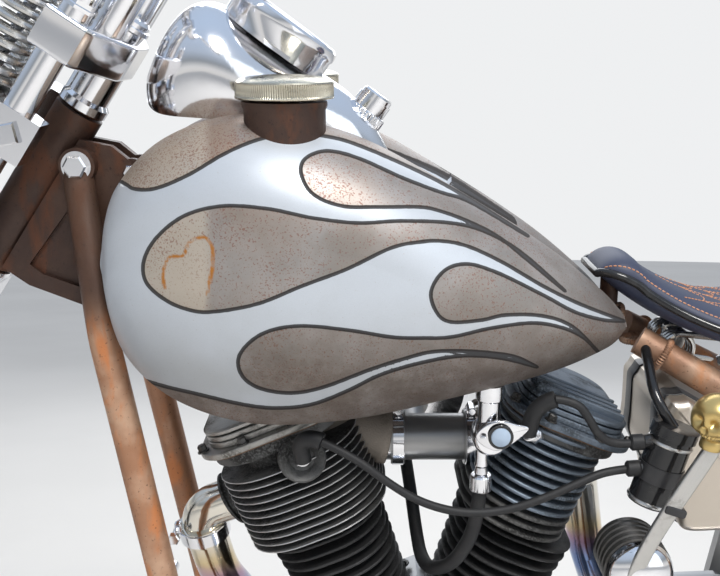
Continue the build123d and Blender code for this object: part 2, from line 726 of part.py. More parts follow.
def shift_lever():
    """Jockey shift: bracket on the gearbox, domed pivot and the flat hand lever."""
    x, z = SHIFT_PIVOT
    arm = plate([(578, 384), (604, 384), (x + 18, z), (x - 16, z)], 84, 92)
    pivot = rod((x, 84, z), (x, 134, z), 64)
    dome = Pos(x, 134, z) * Rot(-90, 0, 0) * revolve(
        make_face(Plane.XZ * (Curve() + [Line((0, 0), (31, 0)), ThreePointArc((31, 0), (20, 14), (0, 20)),
                                         Line((0, 20), (0, 0))])), Axis.Z)
    lever = plate([(x - 8, z - 6), (x + 9, z), (x - 35, 682), (x - 52, 676)], 146, 152)
    return arm.fuse(pivot, dome, lever)


def shift_knob():
    """Knob at the top of the shift lever."""
    return Pos(558, 151, 699) * Sphere(23)


def foot_controls():
    """Forward pegs with clutch and brake pedals, on the downtubes."""
    clamp = rod((1024, 88, 300), (1040, 118, 300), 30)
    peg = rod((1040, 118, 300), (1040, 228, 300), 30)
    pedal = plate([(1050, 306), (1064, 300), (1110, 372), (1098, 380)], 120, 128)
    pad = rod((1102, 124, 374), (1102, 186, 374), 16)
    return both(clamp.fuse(peg, pedal, pad))


# Tail

def fender():
    """Bobbed rear fender with its two struts."""
    inner, thick, half = 350, 3.2, 78
    rise = 16
    profile = [
        ThreePointArc((inner - rise, -half), (inner + 12, 0), (inner - rise, half)),
        Line((inner - rise, half), (inner - rise, half + thick)),
        ThreePointArc((inner - rise, half + thick), (inner + 12 + thick, 0), (inner - rise, -half - thick)),
        Line((inner - rise, -half - thick), (inner - rise, -half)),
    ]
    shell = revolve(make_face(Curve() + profile), Axis.Y, 136)
    shell = Pos(REAR_AXLE[0], 0, REAR_AXLE[1]) * Rot(0, -172, 0) * shell
    strut = rod((-16, 126, 352), (-214, 84, 600), 12)
    return shell.fuse(strut, mirror(strut, about=Plane.XZ))


def tail_lamp():
    """Round tail lamp on the fender, with the plate holder below."""
    shell = rod((-372, 0, 470), (-416, 0, 474), 78)
    foot = rod((-330, 0, 458), (-380, 0, 470), 40)
    holder = Pos(-408, 0, 372) * Rot(0, 10, 0) * Box(4, 180, 116)
    stem = Pos(-396, 0, 426) * Box(26, 40, 40)
    return shell.fuse(foot, stem, holder)


def rear_axle():
    """Hollow rear axle with its nuts and spacers outside the hub."""
    half = PLATE_Y + 30
    bar = rod((0, -half, REAR_R), (0, half, REAR_R), AXLE_D)
    nuts = [rod((0, a, REAR_R), (0, b, REAR_R), 34) for a, b in
            ((PLATE_Y + 5, PLATE_Y + 20), (-PLATE_Y - 20, -PLATE_Y - 5), (93, PLATE_Y - 5), (-PLATE_Y + 5, -93))]
    return bar.fuse(*nuts) - rod((0, -200, REAR_R), (0, 200, REAR_R), AXLE_BORE)


# Springer fork, in the steering frame

def fork_trees():
    """Top tree, lower crown and the stem through the head tube."""
    def bridge(low, high):
        outline = [(-22, -TREE_BACK), (-22, TREE_BACK), (REAR_LEG_X - 22, 104), (REAR_LEG_X + 22, 104),
                   (34, 40), (34, -40), (REAR_LEG_X + 22, -104), (REAR_LEG_X - 22, -104)]
        return Pos(0, 0, low) * extrude(make_face(Polyline(*outline, close=True)), high - low)

    top = bridge(46, 84)
    lower = bridge(-216, -184)
    stem = rod((0, 0, -216), (0, 0, 92), STEM_D)
    cup = rod((0, 0, 2), (0, 0, 46), 40)
    low_cup = rod((0, 0, -184), (0, 0, -176), 40)
    nut = rod((0, 0, 84), (0, 0, 104), 34)
    whole = top.fuse(lower, stem, cup, low_cup, nut)
    for y in (REAR_LEG_Y, -REAR_LEG_Y):
        whole -= rod((REAR_LEG_X, y, -230), (REAR_LEG_X, y, 100), REAR_LEG_D)
    return whole


def rear_legs():
    """Rigid rear legs with the rocker lugs at their feet."""
    leg = rod((REAR_LEG_X, REAR_LEG_Y, -768), (REAR_LEG_X, REAR_LEG_Y, 92), REAR_LEG_D)
    lug = rod((REAR_LEG_X, 84, -800), (REAR_LEG_X, 98, -800), 40)
    tongue = Pos(REAR_LEG_X, 91, -780) * Box(28, 14, 40)
    return both(leg.fuse(lug, tongue))


def front_legs():
    """Sprung front legs with their yoke, spring rods and lugs."""
    x, y, z = FRONT_LEG_TOP
    fx, fy, fz = FRONT_LEG_FOOT
    leg = rod((fx, fy, fz), (x, y, z), FRONT_LEG_D)
    lug = rod((fx, 52, fz), (fx, 70, fz), 38)
    spring_rod = rod((SPRING_X, SPRING_Y, z), (SPRING_X, SPRING_Y, 128), 12)
    yoke = rod((x, -y - 8, z), (x, y + 8, z), 30)
    acorn = rod((SPRING_X, SPRING_Y, 108), (SPRING_X, SPRING_Y, 122), 24)
    return yoke.fuse(
        *[s for piece in (leg, lug, spring_rod, acorn) for s in (piece, mirror(piece, about=Plane.XZ))]
    )


def rockers():
    """Rockers that join both legs to the axle."""
    outline = [(REAR_LEG_X, -800), (AXLE_X, AXLE_Z), (FRONT_LEG_FOOT[0], FRONT_LEG_FOOT[2])]
    link = None
    for a, b in zip(outline, outline[1:]):
        bar = Pos((a[0] + b[0]) / 2, 77, (a[1] + b[1]) / 2) * Rot(
            0, math.degrees(math.atan2(a[1] - b[1], b[0] - a[0])), 0
        ) * Box(math.dist(a, b), 12, 30)
        link = bar if link is None else link.fuse(bar)
    for x, z in outline:
        link = link.fuse(rod((x, 71, z), (x, 83, z), 42))
    link = link - rod((AXLE_X, 60, AXLE_Z), (AXLE_X, 100, AXLE_Z), AXLE_D + 0.2)
    return both(link)


def springs():
    """Main and rebound springs either side of the spring bridge."""
    upper = ribbed((SPRING_X, SPRING_Y, -8), (0, 0, 1), 52, 13, 10, 11)
    lower = ribbed((SPRING_X, SPRING_Y, -172), (0, 0, 1), 52, 13, 11, 10.7)
    return both(group(upper, lower))


def spring_bridge():
    """Bridge clamped to the rear legs that carries the springs."""
    outline = [(2, 74), (2, 102), (54, 104), (66, 72), (104, 66), (108, 0)]
    outline += [(x, -y) for x, y in reversed(outline[:-1])]
    back = [(46, -60), (46, 60)]
    shape = Pos(0, 0, -52) * extrude(make_face(Polyline(*outline, *back, close=True)), 42)
    for y in (1, -1):
        shape -= rod((REAR_LEG_X, y * REAR_LEG_Y, -60), (REAR_LEG_X, y * REAR_LEG_Y, 0), REAR_LEG_D)
        shape -= rod((SPRING_X, y * SPRING_Y, -60), (SPRING_X, y * SPRING_Y, 0), 13)
    return shape


def handlebar():
    """Risers and a mid-rise bar, in the bike frame."""
    risers = [STEER * rod((8, y, 84), (8, y, 152), 34) for y in (45, -45)]
    right = [(1056, 0, 1092), (1056, 78, 1092), (1084, 192, 1290), (1024, 300, 1326), (880, 392, 1298)]
    bar = tube(right, 25.4, [50, 60, 60])
    return bar.fuse(mirror(bar, about=Plane.XZ), *risers)


def grips():
    """Rubber grips over the bar's ends."""
    end = Vector(880, 392, 1298)
    out = (end - Vector(1024, 300, 1326)).normalized()
    start = end - out * 110
    sleeve = rod(tuple(end + out * 1), tuple(end + out * 8), 36)
    grip = rod(tuple(start), tuple(end + out * 1), 36, 25.6)
    return both(grip.fuse(sleeve))


def headlamp():
    """Round headlamp with its bracket."""
    x, z = 1330, 936
    shell = revolve(
        make_face(Plane.XY * Polyline((-50, 0), (-44, 40), (-20, 66), (40, 74), (56, 76), (56, 0), close=True)), Axis.X
    )
    strap = plate([(1240, 986), (1240, 996), (1338, 1016), (1338, 1006)], -16, 16)
    return (Pos(x, 0, z) * shell).fuse(strap)


def front_axle():
    """Hollow front axle with spacers and nuts."""
    bar = rod((AXLE_X, -108, AXLE_Z), (AXLE_X, 108, AXLE_Z), AXLE_D)
    collars = [rod((AXLE_X, a, AXLE_Z), (AXLE_X, b, AXLE_Z), 30) for a, b in
               ((83, 97), (-97, -83), (50.5, 71), (-71, -50.5))]
    return bar.fuse(*collars) - rod((AXLE_X, -120, AXLE_Z), (AXLE_X, 120, AXLE_Z), AXLE_BORE)


# Side stand

STAND_PIVOT = Vector(900.0, 132.0, 146.0)
STAND_FOOT = (968.0, 300.0)
STOWED = Vector(-0.99, 0.12, -0.02)
STAND_PIN_D = 10.0
EYE_HALF = 9.0


def stand_foot():
    """Middle of the sole in the bike frame, where the leaned machine's ground is."""
    x, y = STAND_FOOT
    return Vector(x, y, (y * LEAN_SIN - LIFT) / LEAN_COS)


def stand_axis():
    """Hinge axis of the stand, square to the leg when it is out and when it is stowed."""
    return (stand_foot() - STAND_PIVOT).cross(STOWED).normalized()


def hinge_plane():
    """Plane on the stand's hinge, x pointing inward to the frame rail."""
    axis = stand_axis()
    inward = Vector(0, -1, 0)
    return Plane(origin=STAND_PIVOT, x_dir=inward - axis * inward.dot(axis), z_dir=axis)


def side_stand():
    """Leg with its eye and the foot plate, level on the ground when the machine leans."""
    foot = stand_foot()
    reach = (foot - STAND_PIVOT).normalized()
    leg = rod(tuple(STAND_PIVOT + reach * 8), tuple(foot + Vector(0, 0, 9)), 18)
    eye = hinge_plane() * (Pos(0, 0, -EYE_HALF) * extrude(Circle(16), 2 * EYE_HALF))
    hole = hinge_plane() * (Pos(0, 0, -40) * extrude(Circle(STAND_PIN_D / 2 + 0.08), 80))
    sole = Pos(*foot) * Rot(LEAN, 0, 0) * Pos(0, 0, 4) * Box(70, 48, 8)
    return leg.fuse(eye, sole) - hole


def stand_bracket(rails):
    """Clevis and pin for the stand, welded to the left bottom rail."""
    lugs = []
    for low in (EYE_HALF + 0.3, -EYE_HALF - 8.3):
        lugs.append(Pos(0, 0, low) * extrude(Circle(16), 8))
        lugs.append(Pos(24, 0, low + 4) * Box(48, 32, 8))
    web = Pos(35, 0, 0) * Box(26, 32, 2 * EYE_HALF + 16.6)
    pin = Pos(0, 0, -22) * extrude(Circle(STAND_PIN_D / 2), 44)
    return trimmed(hinge_plane() * web.fuse(*lugs, pin), rails)


def build():
    """Make every piece in its place on the upright machine."""
    front_tyre, front_rim = wheel(FRONT_AXLE, FRONT_R, FRONT_W, FRONT_BEAD, FRONT_SHOULDER, (24, 44, 50, 32))
    rear_tyre, rear_rim = wheel(REAR_AXLE, REAR_R, REAR_W, REAR_BEAD, REAR_SHOULDER, (34, 60, 49.9, 40))
    keep("front_tyre", front_tyre)
    keep("front_rim", front_rim)
    keep("rear_tyre", rear_tyre)
    keep("rear_rim", rear_rim)
    keep("rear_sprocket", rear_drive_wheel())

    saddle = seat()
    keep("frame_neck", trimmed(neck(), saddle))
    rail = bottom_rail()
    keep("frame_downtubes", both(trimmed(downtube(), PARTS["frame_neck"])))
    keep("frame_rails", both(rail))
    keep("frame_stays", both(trimmed(stay(), rail, PARTS["frame_neck"])))
    welded = group(PARTS["frame_neck"], PARTS["frame_rails"], PARTS["frame_stays"], PARTS["frame_downtubes"])
    keep("frame_crossmembers", cross_tubes(welded))

    keep("engine_cases", crankcase())
    for side, name in ((1, "front"), (-1, "rear")):
        keep(f"cylinder_{name}", barrel(side))
        keep(f"head_{name}", head(side))
    keep("rocker_covers", group(rocker_cover(1), rocker_cover(-1)))
    keep("cam_cover", cam_cover())
    keep("pushrod_tubes", pushrod_tubes())
    keep("carburettor", trimmed(carburettor(), PARTS["head_front"], PARTS["head_rear"]))
    keep("air_cleaner", air_cleaner())
    ports = (PARTS["head_front"], PARTS["head_rear"], PARTS["cylinder_front"], PARTS["cylinder_rear"])
    keep("exhaust_pipes", group(*[trimmed(pipe, *ports) for pipe in exhaust().solids()]))
    keep("primary_cover", primary())
    keep("gearbox", gearbox())
    keep("chain", chain())

    left = trimmed(tank_half(), downtube(TUBE_D + 4))
    keep("tank_left", left)
    keep("tank_right", mirror(left, about=Plane.XZ))
    keep("gas_caps", both(gas_cap()))
    keep("dash", trimmed(dash(), PARTS["tank_left"], PARTS["tank_right"]))
    keep("petcock", trimmed(petcock(), left))
    keep("seat", saddle)
    keep("seat_springs", both(trimmed(seat_springs(), saddle, PARTS["frame_stays"])))
    keep("oil_tank", oil_tank())
    keep("ignition_coil", trimmed(coil(), PARTS["frame_stays"]))
    keep("plug_boots", plug_boots())
    keep("spark_lead_front", cord(FRONT_LEAD, 8))
    keep("spark_lead_rear", cord(REAR_LEAD, 8))
    keep("fuel_hose", cord(FUEL_HOSE, 14))
    keep("shift_lever", shift_lever())
    keep("shift_knob", trimmed(shift_knob(), PARTS["shift_lever"]))
    pegs = foot_controls()
    keep("foot_controls", group(*[trimmed(peg, PARTS["frame_downtubes"]) for peg in pegs.solids()]))
    keep("rear_fender", fender())
    keep("tail_lamp", trimmed(tail_lamp(), PARTS["rear_fender"]))
    keep("rear_axle", rear_axle())
    keep("stand_bracket", stand_bracket(rail))

    for name, maker in (
        ("fork_trees", fork_trees), ("fork_rear_legs", rear_legs), ("fork_front_legs", front_legs),
        ("fork_rockers", rockers), ("fork_springs", springs), ("spring_bridge", spring_bridge),
        ("front_axle", front_axle),
    ):
        keep(name, STEER * maker())
    keep("handlebar", handlebar())
    keep("grips", grips())
    keep("headlamp", trimmed(headlamp(), PARTS["spring_bridge"]))
    keep("side_stand", side_stand())


build()
os.makedirs("parts", exist_ok=True)
for name, shape in PARTS.items():
    export_step(PARK * shape, f"parts/{name}.step")
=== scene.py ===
"""Looks of the flamed V-twin chopper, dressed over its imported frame.

Shapes are worked out in the upright machine's millimetres: x forward from the rear axle, y to the
rider's left, z up from the ground. Stance.park() leans them over and brings them to metres in the
row frame. Fork shapes start on the steering axis and pass through Stance.steer() first.
"""
from __future__ import annotations

import logging
import math
from dataclasses import dataclass, field
from enum import Enum
from typing import Callable, Sequence

import bmesh
import bpy
import numpy as np
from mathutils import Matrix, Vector

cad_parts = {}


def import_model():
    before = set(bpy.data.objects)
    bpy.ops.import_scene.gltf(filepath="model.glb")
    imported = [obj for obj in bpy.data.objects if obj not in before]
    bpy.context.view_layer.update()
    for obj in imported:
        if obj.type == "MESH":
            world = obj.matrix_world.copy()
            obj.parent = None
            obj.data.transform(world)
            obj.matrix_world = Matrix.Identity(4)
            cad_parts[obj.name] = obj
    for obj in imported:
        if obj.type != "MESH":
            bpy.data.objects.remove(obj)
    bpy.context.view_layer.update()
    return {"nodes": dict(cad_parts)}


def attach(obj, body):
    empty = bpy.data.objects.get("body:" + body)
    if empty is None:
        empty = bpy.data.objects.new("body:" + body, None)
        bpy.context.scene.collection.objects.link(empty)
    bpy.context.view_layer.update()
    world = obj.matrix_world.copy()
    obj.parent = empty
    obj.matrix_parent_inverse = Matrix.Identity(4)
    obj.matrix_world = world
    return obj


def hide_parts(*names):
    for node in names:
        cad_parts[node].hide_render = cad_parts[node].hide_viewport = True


LOG = logging.getLogger("chopper")
Array = np.ndarray
Point = Sequence[float]
Colour = tuple[float, float, float]
Piece, Material, Socket = bpy.types.Object, bpy.types.Material, bpy.types.NodeSocket
AHEAD, LEFT, UP = (1, 0, 0), (0, 1, 0), (0, 0, 1)
SIDES = {1: "left", -1: "right"}


class Body(str, Enum):
    """Moving bodies of the machine."""

    CHASSIS = "chassis"
    FORK = "fork"
    FRONT_WHEEL = "front_wheel"
    REAR_WHEEL = "rear_wheel"


# Frames and curves


def polar(angle: float) -> tuple[float, float]:
    """Cosine and sine of an angle."""
    return math.cos(angle), math.sin(angle)


@dataclass(frozen=True)
class Stance:
    """How the upright machine stands in the row frame."""

    lean: float = math.radians(9.0)
    origin: tuple[float, float] = (794.0, 203.0)
    lift: float = 0.8348
    head_top: tuple[float, float] = (1131.0, 962.0)
    rake: float = math.radians(34.0)

    def park(self, p: Array) -> Array:
        """Upright millimetres to the row frame's metres: y' = y cos + z sin, z' = z cos - y sin, shifted."""
        p = np.asarray(p, float)
        c, s = polar(self.lean)
        x, y, z = p[..., 0], p[..., 1], p[..., 2]
        out = [x - self.origin[0], y * c + z * s - self.origin[1], z * c - y * s + self.lift]
        return np.stack(out, axis=-1) / 1000.0

    def unpark(self, p: Array) -> Array:
        """Row-frame points back in the upright frame: the inverse of park."""
        c, s = polar(self.lean)
        y, z = p[:, 1] * 1000 + self.origin[1], p[:, 2] * 1000 - self.lift
        return np.stack([p[:, 0] * 1000 + self.origin[0], y * c - z * s, y * s + z * c], axis=1)

    def steer(self, p: Array) -> Array:
        """Points on the steering axis (x ahead of it, z up it from the head tube's top), raked back."""
        c, s = polar(self.rake)
        out = np.array(p, float)
        x, z = out[..., 0].copy(), out[..., 2].copy()
        out[..., 0] = x * c - z * s + self.head_top[0]
        out[..., 2] = x * s + z * c + self.head_top[1]
        return out

    def fork_park(self, p: Array) -> Array:
        """Steering-axis points straight to the row frame."""
        return self.park(self.steer(p))


STANCE = Stance()


def unit(v: Array) -> Array:
    """Vectors scaled to length one."""
    return v / np.linalg.norm(v, axis=-1, keepdims=True)


def turns(count: int) -> Array:
    """Equal angles round a circle, from 0."""
    return np.linspace(0, 2 * math.pi, count, endpoint=False)


def run_of(line: Array) -> Array:
    """Length run at each point of a line."""
    return np.concatenate([[0], np.cumsum(np.linalg.norm(np.diff(line, axis=0), axis=1))])


def at_run(line: Array, want: Array) -> Array:
    """Points of a line where its run comes to the wanted lengths."""
    run = run_of(line)
    return np.stack([np.interp(want, run, line[:, k]) for k in range(line.shape[1])], axis=1)


def smooth_line(points: Sequence[Point], count: int, closed: bool = False) -> Array:
    """Even samples, by chord length, on the Catmull-Rom curve through points of any size."""
    p = np.asarray(points, float)
    n = len(p)
    ring = np.arange(-1, n + 2) % n if closed else np.clip(np.arange(-1, n + 2), 0, n - 1)
    q = p[ring]
    spans = n if closed else n - 1
    dense = np.linspace(0, spans, 24 * spans + 1)
    i = np.minimum(dense.astype(int), spans - 1)
    t = (dense - i)[:, None]
    a, b, c, d = q[i], q[i + 1], q[i + 2], q[i + 3]
    line = 0.5 * (2 * b + (c - a) * t + (2 * a - 5 * b + 4 * c - d) * t**2 + (3 * b - a - 3 * c + d) * t**3)
    return at_run(line, np.linspace(0, run_of(line)[-1], count))


def arc_through(a: Array, m: Array, b: Array, t: Array) -> Array:
    """Points on the circular arcs from a through m to b.

    Args:
        a, m, b: Plane points of each arc, shape (n, 2).
        t: Shares of the way, shape (k,).

    Returns:
        Points (n, k, 2): the circle's centre from the perpendicular bisectors, then equal steps of
        its angle from a to b on the side that holds m.
    """
    (ax, ay), (bx, by), (cx, cy) = a.T, m.T, b.T
    d = 2 * (ax * (by - cy) + bx * (cy - ay) + cx * (ay - by))
    fa, fb, fc = ax**2 + ay**2, bx**2 + by**2, cx**2 + cy**2
    centre = np.stack([(fa * (by - cy) + fb * (cy - ay) + fc * (ay - by)) / d,
                       (fa * (cx - bx) + fb * (ax - cx) + fc * (bx - ax)) / d], axis=1)
    radius = np.linalg.norm(a - centre, axis=1)
    start, middle, sweep = (np.arctan2(*(q - centre).T[::-1]) for q in (a, m, b))
    middle, sweep = (middle - start) % (2 * math.pi), (sweep - start) % (2 * math.pi)
    sweep = np.where(middle > sweep, sweep - 2 * math.pi, sweep)
    angle = start[:, None] + sweep[:, None] * t[None, :]
    return centre[:, None] + radius[:, None, None] * np.stack([np.cos(angle), np.sin(angle)], axis=2)


def arc_line(*arcs: tuple[Point, Point, Point], n: int = 40) -> Array:
    """Points along plane arcs, each given by its start, middle and end."""
    share = np.linspace(0, 1, n)
    return np.vstack([arc_through(*(np.asarray([q], float) for q in arc), share)[0] for arc in arcs])


def rounded(width: float, height: float, corner: float, n: int = 10) -> Array:
    """Outline of a rounded rectangle about the origin, with n points on each corner arc."""
    a = np.linspace(0, math.pi / 2, n)
    arc = np.stack([np.cos(a), np.sin(a)], axis=1) * corner
    parts = []
    for k, (sx, sy) in enumerate(((1, 1), (-1, 1), (-1, -1), (1, -1))):
        c, s = polar(k * math.pi / 2)
        turned = arc @ np.array([[c, s], [-s, c]])
        parts.append(turned + (sx * (width / 2 - corner), sy * (height / 2 - corner)))
    return np.vstack(parts)


def axes_of(direction: Point) -> tuple[Array, Array, Array]:
    """Two unit axes square to a direction, and the direction itself."""
    w = unit(np.asarray(direction, float))
    u = unit(np.cross(UP if abs(w[2]) < 0.9 else AHEAD, w))
    return u, np.cross(w, u), w


# Meshes


def link(name: str, data: bpy.types.ID) -> Piece:
    """A new object in the scene."""
    piece = bpy.data.objects.new(name, data)
    bpy.context.scene.collection.objects.link(piece)
    return piece


@dataclass
class Form:
    """A mesh under construction, gathered from grids of points. Its methods return it for chaining."""

    points: list[Array] = field(default_factory=list)
    faces: list[Array] = field(default_factory=list)
    count: int = 0

    def add(self, p: Array, index: Array) -> "Form":
        """Adds points, with quads between neighbours on the last two axes of their index."""
        near, far = index[..., :-1, :], index[..., 1:, :]
        quads = np.stack([near[..., :-1], far[..., :-1], far[..., 1:], near[..., 1:]], axis=-1)
        self.points.append(p.reshape(-1, 3))
        self.faces.append(quads.reshape(-1, 4) + self.count)
        self.count += p.size // 3
        return self

    def grid(self, p: Array, wrap_u: bool = False, wrap_v: bool = False, caps: bool = False) -> "Form":
        """Adds a grid of points as quads.

        Args:
            p: Points, shape (nu, nv, 3).
            wrap_u, wrap_v: Whether the last row or column joins the first.
            caps: Close the first and last rows with a fan round their middle.
        """
        nu, nv = p.shape[:2]
        index = np.arange(nu * nv).reshape(nu, nv)
        if wrap_u:
            index = np.vstack([index, index[:1]])
        if wrap_v:
            index = np.hstack([index, index[:, :1]])
        first = self.count
        self.add(p, index)
        for row, turn in ((index[0], 1), (index[-1], -1)) if caps else ():
            self.points.append(p.reshape(-1, 3)[row[:nv]].mean(axis=0, keepdims=True))
            a, b = (row[:-1] + first, row[1:] + first)[::turn]
            self.faces.append(np.stack([np.full(len(a), self.count), a, b], axis=-1))
            self.count += 1
        return self

    def sweep(self, path: Array, radius: float, sides: int = 16) -> "Form":
        """Adds a capped round bar along a path.

        Section circles stand square to the path's tangent, on axes that come from cross products
        with one fixed direction, the one that the path follows least.
        """
        path = np.asarray(path, float)
        tangent = unit(np.gradient(path, axis=0))
        u = unit(np.cross(np.eye(3)[np.argmin(np.abs(tangent).max(axis=0))], tangent))
        v = np.cross(tangent, u)
        a = turns(sides)[None, :, None]
        ring = path[:, None] + radius * (np.cos(a) * u[:, None] + np.sin(a) * v[:, None])
        return self.grid(ring, wrap_v=True, caps=True)

    def bar(self, start: Point, end: Point, radius: float, sides: int = 16, ease: float = 0.0) -> "Form":
        """Adds a straight bar, with its end edges eased."""
        a, b = np.asarray(start, float), np.asarray(end, float)
        length = float(np.linalg.norm(b - a))
        profile = [(radius, ease), (radius, length - ease)]
        if ease:
            profile = [(radius - ease, 0), *profile, (radius - ease, length)]
        return self.lathe(profile, a, b - a, sides)

    def turned(self, profile: Sequence[Point], origin: Point, axis: Point, segments: int,
               **ends: bool) -> "Form":
        """Adds the surface that (radius, height) points sweep round an axis."""
        u, v, w = axes_of(axis)
        r, h = (q[:, None, None] for q in np.asarray(profile, float).T)
        a = turns(segments)[None, :, None]
        rows = np.asarray(origin, float) + h * w + r * (np.cos(a) * u + np.sin(a) * v)
        return self.grid(rows, wrap_v=True, **ends)

    def lathe(self, profile: Sequence[Point], origin: Point, axis: Point = UP, segments: int = 48) -> "Form":
        """Adds a turned solid, capped where its profile ends off the axis."""
        return self.turned(profile, origin, axis, segments, caps=True)

    def ring(self, profile: Sequence[Point], origin: Point, axis: Point = UP, segments: int = 48) -> "Form":
        """Adds a ring turned from a closed profile."""
        return self.turned(profile, origin, axis, segments, wrap_u=True)

    def lathes(self, profile: Sequence[Point], origins: Array, axes: Array, segments: int = 6) -> "Form":
        """Adds the same turned solid at many places, as one grid of places by profile by segments.

        Args:
            profile: (radius, height) points; the ends are brought to the axis.
            origins: Places, shape (n, 3).
            axes: Directions, shape (n, 3) or (3,).
            segments: Facets round each piece.
        """
        origins = np.atleast_2d(np.asarray(origins, float))
        w = unit(np.broadcast_to(np.asarray(axes, float), origins.shape))
        u = unit(np.cross(np.where(np.abs(w[:, 2:]) < 0.9, [UP], [AHEAD]), w))
        v = np.cross(w, u)
        prof = np.asarray(profile, float)
        prof = np.vstack([[1e-4, prof[0, 1]], prof, [1e-4, prof[-1, 1]]])
        a = turns(segments)[None, :, None]
        ring = np.cos(a) * u[:, None] + np.sin(a) * v[:, None]
        p = (origins[:, None, None] + prof[None, :, 1, None, None] * w[:, None, None]
             + prof[None, :, 0, None, None] * ring[:, None])
        index = np.arange(p.size // 3).reshape(p.shape[:3])
        return self.add(p, np.concatenate([index, index[:, :, :1]], axis=2))

    def slab(self, outline: Array, origin: Point, u: Point, v: Point, thick: float, edge: float = 1.5,
             rings: int = 4) -> "Form":
        """Adds a plate with eased edges.

        The outline is drawn inwards along its normals by edge(1 - sin) while the height climbs by
        edge(1 - cos), and mirrored for the far side.

        Args:
            outline: Closed outline in the plane of u and v, shape (n, 2), any sense.
            origin: Plane's origin; the plate grows from it along u x v.
            u, v: Unit axes of the plane.
            thick: Thickness.
            edge: Radius of the eased edge.
            rings: Steps of each eased edge.
        """
        o, u, v = (np.asarray(x, float) for x in (origin, u, v))
        p = np.asarray(outline, float)
        after = np.roll(p, -1, axis=0)
        step = after - np.roll(p, 1, axis=0)
        area = np.sum(p[:, 0] * after[:, 1] - after[:, 0] * p[:, 1])
        normal = unit(np.stack([step[:, 1], -step[:, 0]], axis=1)) * np.sign(area)
        a = np.linspace(0, math.pi / 2, rings)
        inset, climb = edge * (1 - np.sin(a)), edge * (1 - np.cos(a))
        q = p[None] - np.concatenate([inset, inset[::-1]])[:, None, None] * normal[None]
        height = np.concatenate([climb, thick - climb[::-1]])[:, None, None]
        rows = o + q[..., :1] * u + q[..., 1:] * v + height * np.cross(u, v)
        return self.grid(rows, wrap_v=True, caps=True)

    def deck(self, outline: Array, x: float, z: float, thick: float, edge: float = 1.5, rings: int = 4,
             y: float = 0.0) -> "Form":
        """Adds a level plate that grows upwards from z."""
        return self.slab(outline, (x, y, z), AHEAD, LEFT, thick, edge, rings)

    def plate(self, outline: Array, y: float, thick: float, edge: float = 1.5, rings: int = 4) -> "Form":
        """Adds an upright plate along the machine, which grows to the right from y."""
        return self.slab(outline, (0, y, 0), AHEAD, UP, thick, edge, rings)

    def build(self, name: str, finish: "Finish", body: Body = Body.CHASSIS,
              place: Callable[[Array], Array] = STANCE.park, crease: float = 34.0,
              replaces: Sequence[str] = (), slot: str = "") -> Piece:
        """Turns the form into an object at the origin that rides on its body.

        Args:
            name: Piece's name.
            finish: Finish it wears.
            body: Body that carries it.
            place: Map from the form's frame to the row frame.
            crease: Edges sharper than this many degrees stay sharp.
            replaces: CAD nodes that it stands for.
            slot: Not used.

        Returns:
            The new object.
        """
        mesh = bpy.data.meshes.new(name)
        faces = [face for block in self.faces for face in block.tolist()]
        mesh.from_pydata(place(np.vstack(self.points)).tolist(), [], faces)
        work = bmesh.new()
        work.from_mesh(mesh)
        bmesh.ops.remove_doubles(work, verts=work.verts, dist=2e-6)
        bmesh.ops.dissolve_degenerate(work, edges=work.edges, dist=1e-7)
        bmesh.ops.recalc_face_normals(work, faces=work.faces)
        work.to_mesh(mesh)
        work.free()
        mesh.polygons.foreach_set("use_smooth", np.ones(len(mesh.polygons), bool))
        mesh.set_sharp_from_angle(angle=math.radians(crease))
        mesh.materials.append(finish.material())
        piece = link(name, mesh)
        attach(piece, body.value)
        if replaces:
            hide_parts(*replaces)
        LOG.info("%s: %d faces", name, len(mesh.polygons))
        return piece


def hex_bolts(places: Sequence[Point], axis: Point, size: float = 10.0, tall: float = 6.0) -> Form:
    """Chamfered hexagon heads on round washers, square to an axis.

    Args:
        places: Seats of the washers.
        axis: Direction that the heads point in.
        size: Width over the corners.
        tall: Height of the head.

    Returns:
        A form of all the heads.
    """
    r = size / 2
    form = Form().lathes([(r * 1.35, 0), (r * 1.35, 1.4)], places, axis, 16)
    return form.lathes([(r, 1.4), (r, 1.4 + 0.8 * tall), (0.8 * r, 1.4 + tall)], places, axis, 6)


# Finishes


